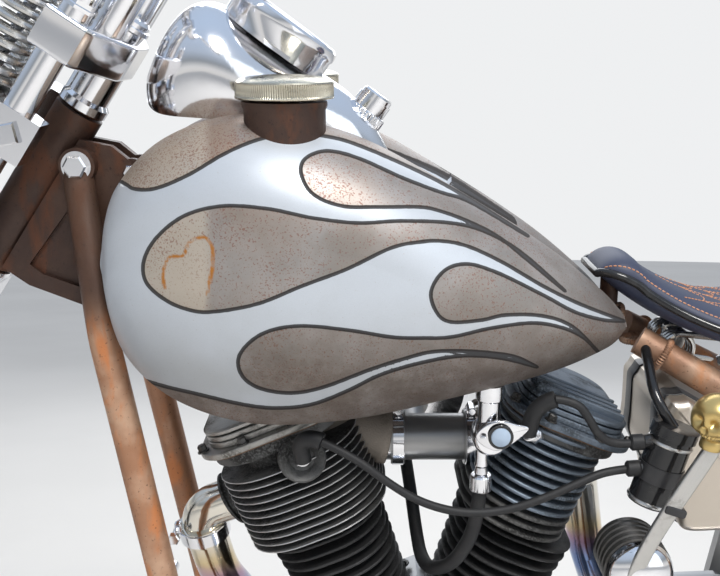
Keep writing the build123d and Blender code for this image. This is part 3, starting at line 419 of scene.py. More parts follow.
class Nodes:
    """A short hand for the shader tree of a new material or world."""

    def __init__(self, owner: bpy.types.ID) -> None:
        """Starts the tree of a material or world, with its Principled shader and the object's coordinates."""
        self.owner = owner
        self.owner.use_nodes = True
        self.tree = self.owner.node_tree
        self.shader = self.tree.nodes.get("Principled BSDF")
        self.coords = self.add("TexCoord", "Object")

    def put(self, socket: Socket, value: object) -> None:
        """Links or sets an input."""
        if isinstance(value, Socket):
            self.tree.links.new(value, socket)
        else:
            socket.default_value = (*value, 1.0) if socket.type == "RGBA" else value

    def add(self, kind: str, out: str | int, inputs: dict | None = None, **settings: str) -> Socket:
        """Adds a node with its inputs and properties, and returns one output."""
        node = self.tree.nodes.new(f"ShaderNode{kind}")
        for key, value in settings.items():
            setattr(node, key, value)
        for key, value in (inputs or {}).items():
            self.put(node.inputs[key], value)
        return node.outputs[out]

    def noise(self, scale: float, detail: float = 3.0, rough: float = 0.5, warp: float = 0.0,
              vector: Socket | None = None) -> Socket:
        """Noise value on object coordinates."""
        return self.add("TexNoise", "Fac", {"Vector": vector or self.coords, "Scale": scale, "Detail": detail,
                                            "Roughness": rough, "Distortion": warp})

    def ramp(self, value: object, low: float, high: float, a: float = 0.0, b: float = 1.0) -> Socket:
        """Value mapped smoothly from low..high to a..b."""
        inputs = {"Value": value, "From Min": low, "From Max": high, "To Min": a, "To Max": b}
        return self.add("MapRange", "Result", inputs, interpolation_type="SMOOTHSTEP")

    def math(self, kind: str, a: object, b: object = 0.0) -> Socket:
        """One arithmetic step."""
        return self.add("Math", 0, {0: a, 1: b}, operation=kind)

    def times(self, a: object, b: object) -> Socket:
        """Product of two values."""
        return self.math("MULTIPLY", a, b)

    def plus(self, a: object, b: object) -> Socket:
        """Sum of two values."""
        return self.math("ADD", a, b)

    def minus(self, a: object, b: object) -> Socket:
        """Difference of two values."""
        return self.math("SUBTRACT", a, b)

    def mix(self, share: object, a: object, b: object) -> Socket:
        """Colour mixed from a to b by share."""
        return self.add("Mix", 2, {0: share, 6: a, 7: b}, data_type="RGBA")

    def bump(self, height: object, distance: float, strength: float) -> Socket:
        """Normal from a height, with the distance in metres."""
        return self.add("Bump", "Normal", {"Height": height, "Distance": distance, "Strength": strength})

    def attribute(self, name: str) -> Socket:
        """A mesh attribute's value."""
        return self.add("Attribute", "Fac", attribute_name=name)

    def height(self) -> Socket:
        """Height above the ground in metres."""
        return self.add("SeparateXYZ", "Z", {0: self.coords})

    def finish(self, colour: object, rough: object, metal: float | Socket = 0.0, normal: Socket | None = None,
               *extra: tuple[str, float]) -> Material:
        """Joins the parts, and any other named inputs, to the shader and returns the material."""
        base = (("Base Color", colour), ("Roughness", rough), ("Metallic", metal), ("Normal", normal))
        for key, value in (*base, *extra):
            if value is not None:
                self.put(self.shader.inputs[key], value)
        return self.owner


@dataclass(frozen=True)
class Finish:
    """A named finish. Its material is made once and shared."""

    name: str

    def material(self) -> Material:
        """The material, made at first use."""
        return bpy.data.materials.get(self.name) or self.paint(Nodes(bpy.data.materials.new(self.name)))

    def paint(self, n: Nodes) -> Material:
        """Builds the shader tree."""
        raise NotImplementedError


@dataclass(frozen=True)
class Plated(Finish):
    """Chrome plate with a few pits and a dusty film."""

    colour: Colour = (0.74, 0.75, 0.77)
    rough: float = 0.09
    film: float = 0.10

    def tone(self, n: Nodes) -> Socket:
        """The plate's colour, broken by fine brown pits."""
        pits = n.ramp(n.noise(900.0, 1.0), 0.66, 0.76)
        return n.mix(n.times(pits, 0.5), self.colour, (0.24, 0.19, 0.15))

    def paint(self, n: Nodes) -> Material:
        """Mirror metal whose roughness rises in blotches of dust."""
        dust = n.ramp(n.noise(35.0, 4.0, 0.6), 0.45, 0.75)
        rough = n.plus(self.rough, n.times(dust, self.film))
        return n.finish(self.tone(n), rough, 1.0, n.bump(n.noise(60.0, 2.0), 0.0004, 0.25))


@dataclass(frozen=True)
class HotPipe(Plated):
    """Chrome pipe coloured by heat near its port."""

    bands: tuple[tuple[float, float, Colour], ...] = (  # upper and lower height in metres, colour
        (0.520, 0.480, (0.60, 0.47, 0.26)),
        (0.490, 0.465, (0.38, 0.24, 0.34)),
        (0.470, 0.440, (0.20, 0.28, 0.50)),
        (0.430, 0.390, (0.72, 0.71, 0.70)),
    )

    def tone(self, n: Nodes) -> Socket:
        """Bands of gold, purple and blue by the height down the pipe, blurred by noise."""
        height = n.plus(n.height(), n.times(n.noise(30.0), 0.02))
        colour: object = self.colour
        for high, low, tone in self.bands:
            colour = n.mix(n.ramp(height, low, high, 1.0, 0.0), colour, tone)
        return colour


@dataclass(frozen=True)
class Cast(Finish):
    """Sand-cast or worn metal: grain, darker grime in patches."""

    colour: Colour = (0.42, 0.41, 0.39)
    grime: Colour = (0.07, 0.06, 0.05)
    amount: float = 0.5
    rough: float = 0.5
    metal: float = 0.75
    grain: float = 0.0005

    def paint(self, n: Nodes) -> Material:
        """Metal mixed with grime by two scales of noise, with a sandy bump."""
        patches = n.ramp(n.noise(22.0, 5.0, 0.62, 0.3), 0.58 - 0.3 * self.amount, 0.80 - 0.3 * self.amount)
        colour = n.mix(patches, self.colour, self.grime)
        fine = n.mix(n.ramp(n.noise(420.0, 2.0), 0.45, 0.7), colour, self.colour)
        rough = n.plus(self.rough, n.times(patches, 0.25))
        metal = n.times(n.minus(1.0, n.times(patches, 0.6)), self.metal)
        return n.finish(fine, rough, metal, n.bump(n.noise(700.0), self.grain, 0.6))


@dataclass(frozen=True)
class RustyTube(Finish):
    """Bare frame steel gone brown, with orange runs, and painted shade, darker above a height in metres, if
    one is given.
    """

    base: Colour = (0.275, 0.150, 0.092)
    pale: Colour = (0.41, 0.265, 0.18)
    orange: Colour = (0.50, 0.20, 0.07)
    dark: Colour = (0.08, 0.045, 0.032)
    runs: float = 0.65
    shade: float = 0.0

    def paint(self, n: Nodes) -> Material:
        """Brown steel broken by pale, orange and dark noise stretched down the tubes."""
        stretched = n.add("Mapping", "Vector", {"Vector": n.coords, "Scale": (1.0, 1.0, 0.35)})
        runs = n.noise(30.0, 5.0, 0.6, 0.4, stretched)
        colour = n.mix(n.ramp(n.noise(14.0, 4.0, 0.6), 0.42, 0.66), self.base, self.pale)
        colour = n.mix(n.ramp(runs, 0.50, 0.66, 0.0, self.runs), colour, self.orange)
        colour = n.mix(n.ramp(n.noise(260.0, 3.0, 0.7), 0.60, 0.70, 0.0, 0.7), colour, self.dark)
        # painted shade: the tube darkens above the given height
        if self.shade:
            above = n.ramp(n.height(), self.shade - 0.03, self.shade + 0.03, 0.0, 0.9)
            colour = n.mix(above, colour, (0.060, 0.032, 0.023))
        bump = n.bump(n.noise(500.0, 4.0, 0.7), 0.0004, 0.6)
        return n.finish(colour, n.ramp(runs, 0.4, 0.7, 0.42, 0.75), 0.35, bump)


@dataclass(frozen=True)
class Painted(Finish):
    """Paint or plastic: gloss, and a fine orange peel."""

    colour: Colour = (0.02, 0.02, 0.022)
    rough: float = 0.35
    dust: Colour = (0.10, 0.095, 0.09)

    def paint(self, n: Nodes) -> Material:
        """One colour under a thin film of dust."""
        film = n.ramp(n.noise(18.0, 5.0, 0.65), 0.45, 0.8, 0.0, 0.55)
        colour, rough = n.mix(film, self.colour, self.dust), n.plus(self.rough, n.times(film, 0.3))
        return n.finish(colour, rough, 0.0, n.bump(n.noise(300.0, 2.0), 0.0002, 0.3))


@dataclass(frozen=True)
class Elastic(Finish):
    """Rubber: matte black with dust in the grain."""

    colour: Colour = (0.010, 0.010, 0.011)
    dust: Colour = (0.034, 0.032, 0.030)
    rough: float = 0.60

    def paint(self, n: Nodes) -> Material:
        """Black broken by dust, with a fine grain."""
        colour = n.mix(n.ramp(n.noise(60.0, 5.0, 0.65), 0.5, 0.8, 0.0, 0.6), self.colour, self.dust)
        return n.finish(colour, self.rough, 0.0, n.bump(n.noise(900.0, 2.0), 0.0003, 0.4))


@dataclass(frozen=True)
class Hide(Finish):
    """Dark blue-black saddle leather."""

    colour: Colour = (0.007, 0.009, 0.018)
    worn: Colour = (0.020, 0.025, 0.042)

    def paint(self, n: Nodes) -> Material:
        """Pebbled grain from scattered cells, paler where the leather is worn."""
        grain = n.add("TexVoronoi", "Distance", {"Vector": n.coords, "Scale": 520.0})
        wear = n.ramp(n.noise(25.0, 4.0), 0.45, 0.75, 0.0, 0.8)
        colour, rough = n.mix(wear, self.colour, self.worn), n.ramp(wear, 0.0, 1.0, 0.40, 0.55)
        return n.finish(colour, rough, 0.0, n.bump(grain, 0.0006, 0.5), SOFT_SHINE)


@dataclass(frozen=True)
class FlameCoat(Finish):
    """Silver flames with dark pinstripes over bare weathered steel."""

    silver: Colour = (0.50, 0.535, 0.58)
    steel: Colour = (0.25, 0.236, 0.222)
    pale_steel: Colour = (0.33, 0.315, 0.305)
    brown: Colour = (0.33, 0.235, 0.17)
    speck: Colour = (0.23, 0.09, 0.06)
    orange: Colour = (0.42, 0.16, 0.02)
    stripe: Colour = (0.016, 0.014, 0.014)
    stripe_half: float = 2.0

    def steel_part(self, n: Nodes, specks: Socket) -> Socket:
        """Mottled bare steel, brown at the top, with specks and the rust map, whose rim is orange; paler in a
        patch of painted light at the front, and darker low down with grime and painted shade.
        """
        colour = n.mix(n.ramp(n.noise(16.0, 6.0, 0.6, 0.2), 0.38, 0.66), self.steel, self.pale_steel)
        browned = n.times(n.attribute("weather"), n.ramp(n.noise(24.0, 5.0, 0.65), 0.25, 0.6))
        colour = n.mix(browned, colour, self.brown)
        # painted light: paler steel in a sunlit patch at the front, which ends at a shadow's edge
        colour = n.mix(n.times(n.attribute("sunlit_patch"), 0.55), colour, (0.60, 0.53, 0.44))
        colour = n.mix(specks, colour, self.speck)
        colour = n.mix(n.ramp(n.attribute("patch"), -1.0, 2.0, 0.0, 0.5), colour, (0.50, 0.44, 0.37))
        ragged = n.plus(n.attribute("stain"), n.times(n.noise(150.0, 5.0, 0.7), 7.0))
        colour = n.mix(n.ramp(ragged, 3.6, 6.2, 0.95, 0.0), colour, self.orange)
        # grime also holds painted shade: the steel darkens low on the tank's side
        grime = n.times(n.attribute("grime"), n.ramp(n.noise(40.0, 5.0, 0.7), 0.25, 0.65, 0.5, 1.0))
        return n.mix(grime, colour, (0.10, 0.075, 0.06))

    def silver_part(self, n: Nodes, rust: Socket) -> Socket:
        """Silver with bright flakes, dirt, a few rust specks, and grime and painted shade low down."""
        colour = n.mix(n.ramp(n.noise(1400.0, 1.0), 0.3, 0.7, 0.0, 0.22), self.silver, (0.60, 0.64, 0.70))
        colour = n.mix(n.ramp(n.noise(9.0, 5.0, 0.6, 0.3), 0.46, 0.8, 0.0, 0.35), colour, (0.36, 0.37, 0.37))
        colour = n.mix(n.ramp(n.minus(rust, 0.72), -0.005, 0.02, 0.0, 0.5), colour, (0.33, 0.25, 0.19))
        # grime also holds painted shade: the silver darkens low on the tank's side
        grime = n.times(n.attribute("grime"), n.ramp(n.noise(12.0), 0.25, 0.8, 0.1, 0.55))
        return n.mix(grime, colour, (0.22, 0.20, 0.17))

    def paint(self, n: Nodes) -> Material:
        """Mixes by the mesh attributes: edge is the signed distance to the flame's edge, stain the
        distance to the rust map's rim, weather how brown the top of the tank has gone."""
        flame, rust = n.attribute("edge"), n.noise(600.0, 2.0, 0.6)
        edge = n.minus(0.645, n.times(n.ramp(n.noise(26.0, 4.0), 0.35, 0.7), 0.06))
        edge = n.minus(edge, n.times(n.attribute("weather"), 0.07))
        specks = n.ramp(n.minus(rust, edge), -0.04, 0.05, 0.0, 0.62)
        painted = n.ramp(flame, -0.5, 0.5)
        body = n.mix(painted, self.steel_part(n, specks), self.silver_part(n, rust))
        wobble = n.plus(n.math("ABSOLUTE", flame), n.times(n.noise(160.0), 0.7))
        line = n.ramp(wobble, self.stripe_half, self.stripe_half + 0.6, 0.93, 0.0)
        worn = n.plus(n.times(specks, 0.2), n.times(line, 0.3))
        rough = n.plus(n.ramp(painted, 0.0, 1.0, 0.46, 0.36), worn)
        metal = n.times(n.ramp(painted, 0.0, 1.0, 0.55, 0.30), n.minus(1.0, line))
        height = n.plus(n.times(painted, 0.4), n.times(n.noise(800.0, 2.0), 0.12))
        colour = n.mix(line, body, self.stripe)
        return n.finish(colour, rough, metal, n.bump(height, 0.0004, 0.5), SOFT_SHINE)


@dataclass(frozen=True)
class Lens(Finish):
    """Lamp or gauge glass."""

    colour: Colour = (0.9, 0.92, 0.94)
    clear: float = 0.9
    rough: float = 0.05

    def paint(self, n: Nodes) -> Material:
        """Glass tinted by a faint film of dust."""
        film = n.ramp(n.noise(40.0, 4.0), 0.5, 0.8, self.rough, self.rough + 0.1)
        return n.finish(self.colour, film, 0.0, None, ("Transmission Weight", self.clear))


SOFT_SHINE = ("Specular IOR Level", 0.22)
CHROME = Plated("chrome")
DULL_CHROME = Plated("dull_chrome", (0.60, 0.59, 0.57), 0.24, 0.2)
CAP_CHROME = Plated("cap_chrome", (0.58, 0.54, 0.44), 0.22, 0.2)
HOT_PIPE = HotPipe("hot_pipe", (0.72, 0.68, 0.60), 0.12, 0.12)
FIN_ALLOY = Cast("fin_alloy", (0.17, 0.205, 0.25), (0.05, 0.06, 0.07), 0.4, 0.42, 0.75, 0.0004)
SATIN_STEEL = Cast("satin_steel", (0.52, 0.51, 0.49), (0.20, 0.18, 0.16), 0.2, 0.34, 0.95, 0.0002)
CASE_ALLOY = Cast("case_alloy", (0.50, 0.49, 0.47), (0.12, 0.105, 0.09), 0.45, 0.42, 0.8)
# Head casting darkened below its own tone as painted shade, the engine sitting in shadow; the plug well wears
# it too
SHADED_HEAD_METAL = Cast("shaded_head_metal", (0.12, 0.12, 0.118), (0.025, 0.024, 0.023), 0.6, 0.52, 0.6, 0.0006)
LIT_EDGE = Cast("lit_edge", (0.52, 0.52, 0.52), (0.22, 0.21, 0.20), 0.35, 0.36, 0.9, 0.0002)
COVER_ALLOY = Cast("cover_alloy", (0.36, 0.35, 0.33), (0.10, 0.09, 0.075), 0.4, 0.38, 0.8)
# Black iron barrels darkened further as painted shade, the engine sitting in shadow
SHADED_BARREL_METAL = Cast("shaded_barrel_metal", (0.036, 0.036, 0.037), (0.012, 0.012, 0.012), 0.5, 0.52, 0.4, 0.0006)
OILY_STEEL = Cast("oily_steel", (0.16, 0.155, 0.15), (0.04, 0.03, 0.025), 0.5, 0.42, 0.85, 0.0003)
BARE_TIN = Cast("bare_tin", (0.47, 0.44, 0.39), (0.38, 0.19, 0.08), 0.14, 0.42, 0.6, 0.0003)
WARM_CASTING = Cast("warm_casting", (0.30, 0.26, 0.22), (0.10, 0.075, 0.06), 0.5, 0.6, 0.4, 0.001)
BLACK_STEEL = Cast("black_steel", (0.09, 0.088, 0.085), (0.03, 0.025, 0.02), 0.4, 0.4, 0.8, 0.0002)
BRASS = Cast("brass", (0.66, 0.47, 0.17), (0.20, 0.12, 0.05), 0.3, 0.25, 1.0, 0.0002)
RUSTY_TUBE = RustyTube("rusty_tube")
# Downtubes: rusty steel, lighter and more orange than rusty_tube as painted sunlight, with painted shade
# above 0.755 m
LIT_AND_SHADED_TUBE = RustyTube("lit_and_shaded_tube", (0.36, 0.18, 0.10), (0.52, 0.33, 0.22), (0.58, 0.22, 0.08), runs=0.9,
                        shade=0.755)
# Rust on the frame's neck, darkened to near black as painted shade, the tone of the downtubes' shaded tops;
# the filler necks wear it too
RUST_IN_SHADE = RustyTube("rust_in_shade", (0.050, 0.027, 0.020), (0.085, 0.045, 0.030), (0.15, 0.055, 0.025),
                        (0.022, 0.014, 0.012))
BLACK = Painted("satin_black")
GLOSS_BLACK = Painted("gloss_black", (0.012, 0.012, 0.013), 0.14, (0.05, 0.05, 0.05))
GASKET = Painted("gasket", (0.16, 0.09, 0.05), 0.8, (0.10, 0.07, 0.05))
RED_PAINT = Painted("red_paint", (0.55, 0.05, 0.02), 0.4, (0.4, 0.08, 0.05))
COPPER_THREAD = Painted("copper_thread", (0.48, 0.22, 0.12), 0.5, (0.40, 0.20, 0.12))
PLATE_WHITE = Painted("plate_white", (0.60, 0.60, 0.57), 0.4, (0.42, 0.40, 0.36))
FACE_BLACK = Painted("dial_black", (0.012, 0.012, 0.014), 0.4, (0.02, 0.02, 0.02))
FACE_WHITE = Painted("dial_white", (0.75, 0.74, 0.70), 0.5, (0.6, 0.6, 0.56))
RUBBER = Elastic("rubber")
TYRE_RUBBER = Elastic("tyre_rubber", (0.022, 0.022, 0.023), (0.11, 0.10, 0.09), 0.75)
HIDE = Hide("hide")
FLAMES = FlameCoat("flame_coat")
CLEAR_GLASS = Lens("clear_glass")
BLUE_GLASS = Lens("blue_glass", (0.55, 0.68, 0.85), 0.35, 0.08)
RED_GLASS = Lens("red_glass", (0.55, 0.02, 0.02), 0.5, 0.12)


# Fuel tanks


@dataclass
class FuelTanks:
    """Split tank halves with their flames, filler bungs and caps."""

    stations: tuple[tuple[float, float, float, float], ...] = (  # x, top, bottom, outer
        (1101.5, 848, 808, 72), (1084, 899, 752, 114), (1035, 944, 711, 146), (960, 964, 691, 165),
        (870, 946, 696, 168), (780, 899, 714, 160), (690, 842, 732, 134), (634, 797, 747, 98),
        (612, 774, 757, 64))
    tunnel: float = 24.0
    end_round: float = 1.0
    downtube: tuple[Point, Point] = ((1130.0, 27.0, 908.0), (1103.0, 73.0, 756.0))
    tube_clear: float = 16.3
    cap: tuple[float, float, float] = (928.0, 95.0, 978.0)
    cap_rows: tuple[tuple[float, float], ...] = (  # radius, height; the coin edge runs between the beads
        (40.5, 0), (42.6, 0.8), (43, 2), (42.2, 3.2), (42.2, 12.5), (43, 13.8), (42.6, 15), (38, 17.5),
        (30, 19.4), (16, 20.6), (1, 21))
    stencil_eye: tuple[float, float, float] = (863.0, 1119.0, 864.0)
    stencil_pitch: float = math.radians(5.0)
    stencil_reach: float = 1000.0
    card_middle: tuple[float, float] = (360, 288)
    # The flame's edge, tip to tip, as it lies on the stencil card
    edge_runs: tuple[tuple[tuple[float, float], ...], ...] = (
        ((60, 150), (120, 181), (135, 189), (157, 188), (190, 174), (224, 154), (257, 140), (291, 134),
         (324, 136), (358, 145), (420, 172), (470, 199), (528, 236)),
        ((528, 236), (470, 202), (440, 192), (403, 178), (358, 158), (327, 151), (306, 158), (301, 173),
         (313, 194), (342, 206), (380, 207), (420, 207), (440, 211), (470, 222), (500, 238), (530, 262),
         (565, 291)),
        ((565, 291), (522, 253), (486, 232), (451, 223), (400, 221), (358, 223), (313, 218), (269, 209),
         (224, 206), (186, 215), (158, 236), (144, 260), (146, 282), (164, 299), (186, 309), (211, 312),
         (257, 304), (302, 286), (347, 269), (391, 248), (420, 242), (441, 241), (467, 246), (502, 262),
         (543, 286), (580, 304), (624, 321)),
        ((624, 321), (604, 320), (575, 312), (543, 295), (498, 273), (467, 264), (444, 271), (431, 292),
         (437, 313), (451, 322), (482, 320), (506, 315), (543, 316), (573, 327), (600, 354)),
        ((600, 354), (584, 338), (563, 328), (533, 323), (492, 328), (451, 337), (420, 338), (391, 337),
         (347, 330), (298, 326), (262, 334), (240, 354), (241, 374), (259, 388), (291, 393), (324, 387),
         (369, 370), (400, 360), (431, 352), (461, 351), (492, 353), (516, 357), (537, 367)),
        ((537, 367), (500, 358), (461, 356), (420, 363), (380, 375), (347, 391), (313, 404), (280, 408),
         (246, 405), (193, 393), (150, 382), (60, 352)))
    rust_rim: tuple[tuple[float, float], ...] = (
        (165, 288), (163, 272), (170, 257), (183, 256), (190, 242), (204, 237), (212, 247), (212, 270),
        (207, 294))
    rust_foot: tuple[tuple[float, float], ...] = ((202, 330), (160, 325))

    def stencil(self, p: Array) -> Array:
        """Where points of the left tank fall on the stencil's card (across, down), seen from its eye."""
        c, s = polar(STANCE.lean)
        ex, ey, ez = self.stencil_eye
        dx, dy, dz = p[:, 0] - ex, p[:, 1] * c + p[:, 2] * s - ey, p[:, 2] * c - p[:, 1] * s - ez
        c, s = polar(self.stencil_pitch)
        depth, rise = -dy * c - dz * s, -dy * s + dz * c
        reach, (across, down) = self.stencil_reach, self.card_middle
        return np.stack([across - reach * dx / depth, down - reach * rise / depth], axis=1)

    def skin(self, rows: int = 260, ring: int = 200) -> Array:
        """Grid of the left half's skin.

        Args:
            rows: Sections along the tank, without the rounded ends.
            ring: Points round each section.

        Returns:
            Points (rows + 16, ring, 3). Each section is the tank's outline at x: an arc from the
            crest over the shoulder to the widest point, an arc through the belly to the keel, and
            the flat keel, step and inner wall. Stations are joined by a smooth curve, and past each
            end the last section shrinks on a quarter ellipse.
        """
        x, top, bottom, outer = smooth_line(self.stations, rows).T
        width, height = outer - self.tunnel, top - bottom
        reach = 0.643 * width
        fall = np.minimum(reach, 0.55 * height)
        radius = (reach**2 + fall**2) / (2 * fall)
        axis, centre = outer - reach, top - radius
        low = np.arctan2(top - fall - centre, reach)[:, None]
        high = np.arccos((self.tunnel - axis) / radius)[:, None]
        angle = high + (low - high) * np.linspace(0, 1, ring // 2, endpoint=False)[None]
        upper = np.stack([axis[:, None] + radius[:, None] * np.cos(angle),
                          centre[:, None] + radius[:, None] * np.sin(angle)], axis=2)
        side, belly, keel, step, roof = (np.stack(q, axis=1) for q in (
            (outer, top - fall), (outer - 0.10 * width, bottom + 0.18 * height),
            (outer - 0.30 * width, bottom), (self.tunnel + 0.44 * width, bottom + 0.12 * height),
            (np.full_like(x, self.tunnel), bottom + 0.14 * height)))
        lower = arc_through(side, belly, keel, np.linspace(0, 1, ring // 4, endpoint=False))
        rest = ring - ring // 2 - ring // 4
        third = rest // 3
        flat = []
        for a, b, count in ((keel, step, third), (step, roof, third), (roof, upper[:, 0], rest - 2 * third)):
            share = np.linspace(0, 1, count, endpoint=False)[None, :, None]
            flat.append(a[:, None] + share * (b - a)[:, None])
        section = np.concatenate([upper, lower, *flat], axis=1)
        grid = np.concatenate([np.broadcast_to(x[:, None, None], (*section.shape[:2], 1)), section], axis=2)
        ends = []
        a = np.linspace(0, math.pi / 2, 9)[1:]
        for row, way in ((grid[0], 1.0), (grid[-1], -1.0)):
            centre = row.mean(axis=0)
            cap = centre + (row[None] - centre) * (0.94 + 0.06 * np.cos(a))[:, None, None]
            cap[..., 0] = row[None, :, 0] + (way * self.end_round * np.sin(a))[:, None]
            ends.append(cap)
        return self.clear_tube(np.concatenate([ends[0][::-1], grid, ends[1]], axis=0))

    def clear_tube(self, p: Array) -> Array:
        """Points moved back behind the downtube's rear wall, with a little air."""
        a, b = (np.asarray(q) for q in self.downtube)
        share = np.clip((p[..., 2] - a[2]) / (b[2] - a[2]), 0, 1)
        axis = a + share[..., None] * (b - a)
        across = np.clip(self.tube_clear**2 - (p[..., 1] - axis[..., 1]) ** 2, 0, None)
        out = p.copy()
        out[..., 0] = np.where(across > 0, np.minimum(p[..., 0], axis[..., 0] - np.sqrt(across)), p[..., 0])
        return out

    @staticmethod
    def distance(p: Array, line: Array, closed: bool = True) -> Array:
        """Distance from points to a line of short straight pieces, in blocks of points."""
        a, b = (line, np.roll(line, -1, axis=0)) if closed else (line[:-1], line[1:])
        ab = b - a
        scale = np.maximum((ab**2).sum(axis=1), 1e-9)
        blocks = []
        for q in np.array_split(p, max(1, len(p) // 4000)):
            aq = q[:, None] - a[None]
            t = np.clip((aq * ab).sum(axis=2) / scale, 0, 1)
            blocks.append(np.sqrt(((aq - t[..., None] * ab) ** 2).sum(axis=2).min(axis=1)))
        return np.concatenate(blocks)

    @staticmethod
    def inside(p: Array, line: Array) -> Array:
        """Whether points lie inside a closed line, by counting crossings to the right."""
        a, b = line, np.roll(line, -1, axis=0)
        slope = (b[:, 0] - a[:, 0]) / np.where(b[:, 1] == a[:, 1], 1e-9, b[:, 1] - a[:, 1])
        blocks = []
        for q in np.array_split(p, max(1, len(p) // 4000)):
            x, y = q[:, :1], q[:, 1:]
            spans = (a[:, 1] > y) != (b[:, 1] > y)
            blocks.append((spans & (x < a[:, 0] + (y - a[:, 1]) * slope)).sum(axis=1) % 2 == 1)
        return np.concatenate(blocks)

    def signed(self, p: Array, line: Array) -> Array:
        """Distance to a closed line, positive inside it."""
        return self.distance(p, line) * np.where(self.inside(p, line), 1.0, -1.0)

    def masks(self, p: Array) -> dict[str, Array]:
        """Paint attributes of the left half's points.

        Args:
            p: Points in the upright frame.

        Returns:
            edge: signed distance to the flame's edge, positive in silver; stain: distance to the
            rust map's rim; patch: signed distance inside it; weather: how brown the top is;
            grime: dirt along the keel and painted shade low on the side; sunlit_patch: painted light on the
                front steel, up to a shadow's edge.
        """
        card = self.stencil(p)
        edge = np.vstack([smooth_line(run, 30 * len(run))[:-1] for run in self.edge_runs])
        rim = smooth_line(self.rust_rim, 60)
        front_top = np.clip((p[:, 0] - 800) / 240, 0, 1) * np.clip((p[:, 2] - 850) / 90, 0, 1)
        grime = np.clip((728 - p[:, 2]) / 40, 0, 1) * np.clip(1 - (p[:, 0] - 960) / 200, 0.4, 1)
        return {
            "edge": self.signed(card, edge),
            "stain": self.distance(card, rim, False),
            "patch": self.signed(card, np.vstack([rim, self.rust_foot])),
            "weather": np.clip(0.15 + 0.8 * front_top, 0, 1),
            # dirt along the keel, and painted shade that darkens the side below 825 mm
            "grime": np.maximum(grime, 0.8 * np.clip((825 - p[:, 2]) / 80, 0, 1)),
            # painted light on the front steel, up to a shadow's edge
            "sunlit_patch": np.clip((212 - card[:, 0]) / 9, 0, 1) * np.clip((335 - card[:, 1]) / 20, 0, 1),
        }

    def half(self, side: int) -> None:
        """One tank half with its paint attributes; the right one has no rust map and no sunlit patch of
        painted light.
        """
        flip = np.array([1.0, side, 1.0])
        name = f"tank_{SIDES[side]}"
        piece = Form().grid(self.skin() * flip, wrap_v=True, caps=True).build(
            f"{name}_skin", FLAMES, replaces=[name], slot="flames", crease=50)
        co = np.empty(len(piece.data.vertices) * 3)
        piece.data.vertices.foreach_get("co", co)
        values = self.masks(STANCE.unpark(co.reshape(-1, 3)) * flip)
        if side == -1:
            for key, value in (("stain", 60.0), ("patch", -60.0), ("sunlit_patch", 0.0)):
                values[key] = np.full(len(values[key]), value)
        for key, value in values.items():
            layer = piece.data.attributes.new(key, "FLOAT", "POINT")
            layer.data.foreach_set("value", value.astype(np.float32))

    def neck(self, side: int) -> None:
        """Rusty filler neck under the cap, darkened as painted shade."""
        x, y, z = self.cap
        profile = [(30, -52), (35.5, -52), (35.5, -9), (37, -6), (37, -2), (30, -2)]
        Form().lathe(profile, (x, side * y, z), UP, 64).build(f"filler_neck_{SIDES[side]}", RUST_IN_SHADE)

    def filler_cap(self, side: int) -> Piece:
        """Domed chrome cap, whose coin edge waves by 0.4 cos(130 angle) between the two beads."""
        x, y, z = self.cap
        a = turns(1040)
        radii, heights = (q[:, None] for q in np.array(self.cap_rows).T)
        r = radii + np.where((heights > 2.5) & (heights < 13), 1.0, 0.0) * 0.4 * np.cos(130 * a)[None]
        h = z + np.broadcast_to(heights, r.shape)
        grid = np.stack([x + r * np.cos(a), side * y + r * np.sin(a), h], axis=2)
        form = Form().grid(grid, wrap_v=True, caps=True)
        return form.build(f"filler_cap_{SIDES[side]}", CAP_CHROME, slot="chrome")

    def dress(self) -> None:
        """Builds both halves, their necks and caps."""
        for side in SIDES:
            self.half(side)
            self.neck(side)
            self.filler_cap(side)
        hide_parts("gas_caps")


# Engine


@dataclass(frozen=True)
class Bore:
    """One cylinder and its frame: t along the machine, y across, s up the bore from the crank."""

    side: int
    word: str
    length: float  # head's length
    shift: float  # head's middle
    plug: tuple[float, float]
    inlet: tuple[Point, Point]  # in the upright frame
    port: tuple[Point, Point]
    clamp_x: float
    crank: tuple[float, float] = (800.0, 300.0)
    vee: float = math.radians(22.5)

    def park(self, p: Array) -> Array:
        """Bore points, turned by the vee angle about y, in the row frame."""
        out = np.array(p, float)
        x, z = out[..., 0].copy(), out[..., 2].copy()
        c, s = math.cos(self.vee), self.side * math.sin(self.vee)
        out[..., 0] = self.crank[0] + x * c + z * s
        out[..., 2] = self.crank[1] - x * s + z * c
        return STANCE.park(out)


BORES = (
    Bore(1, "front", 148.0, 0.0, (-24.0, 358.0), ((905, 0, 642), (833, 0, 628)),
         ((30, 0, 322), (86, 0, 314)), 818.0),
    Bore(-1, "rear", 126.0, 9.0, (55.0, 374.0), ((690, 0, 646), (739, 0, 628)),
         ((-26, -40, 322), (-56, -58, 316)), 743.0),
)


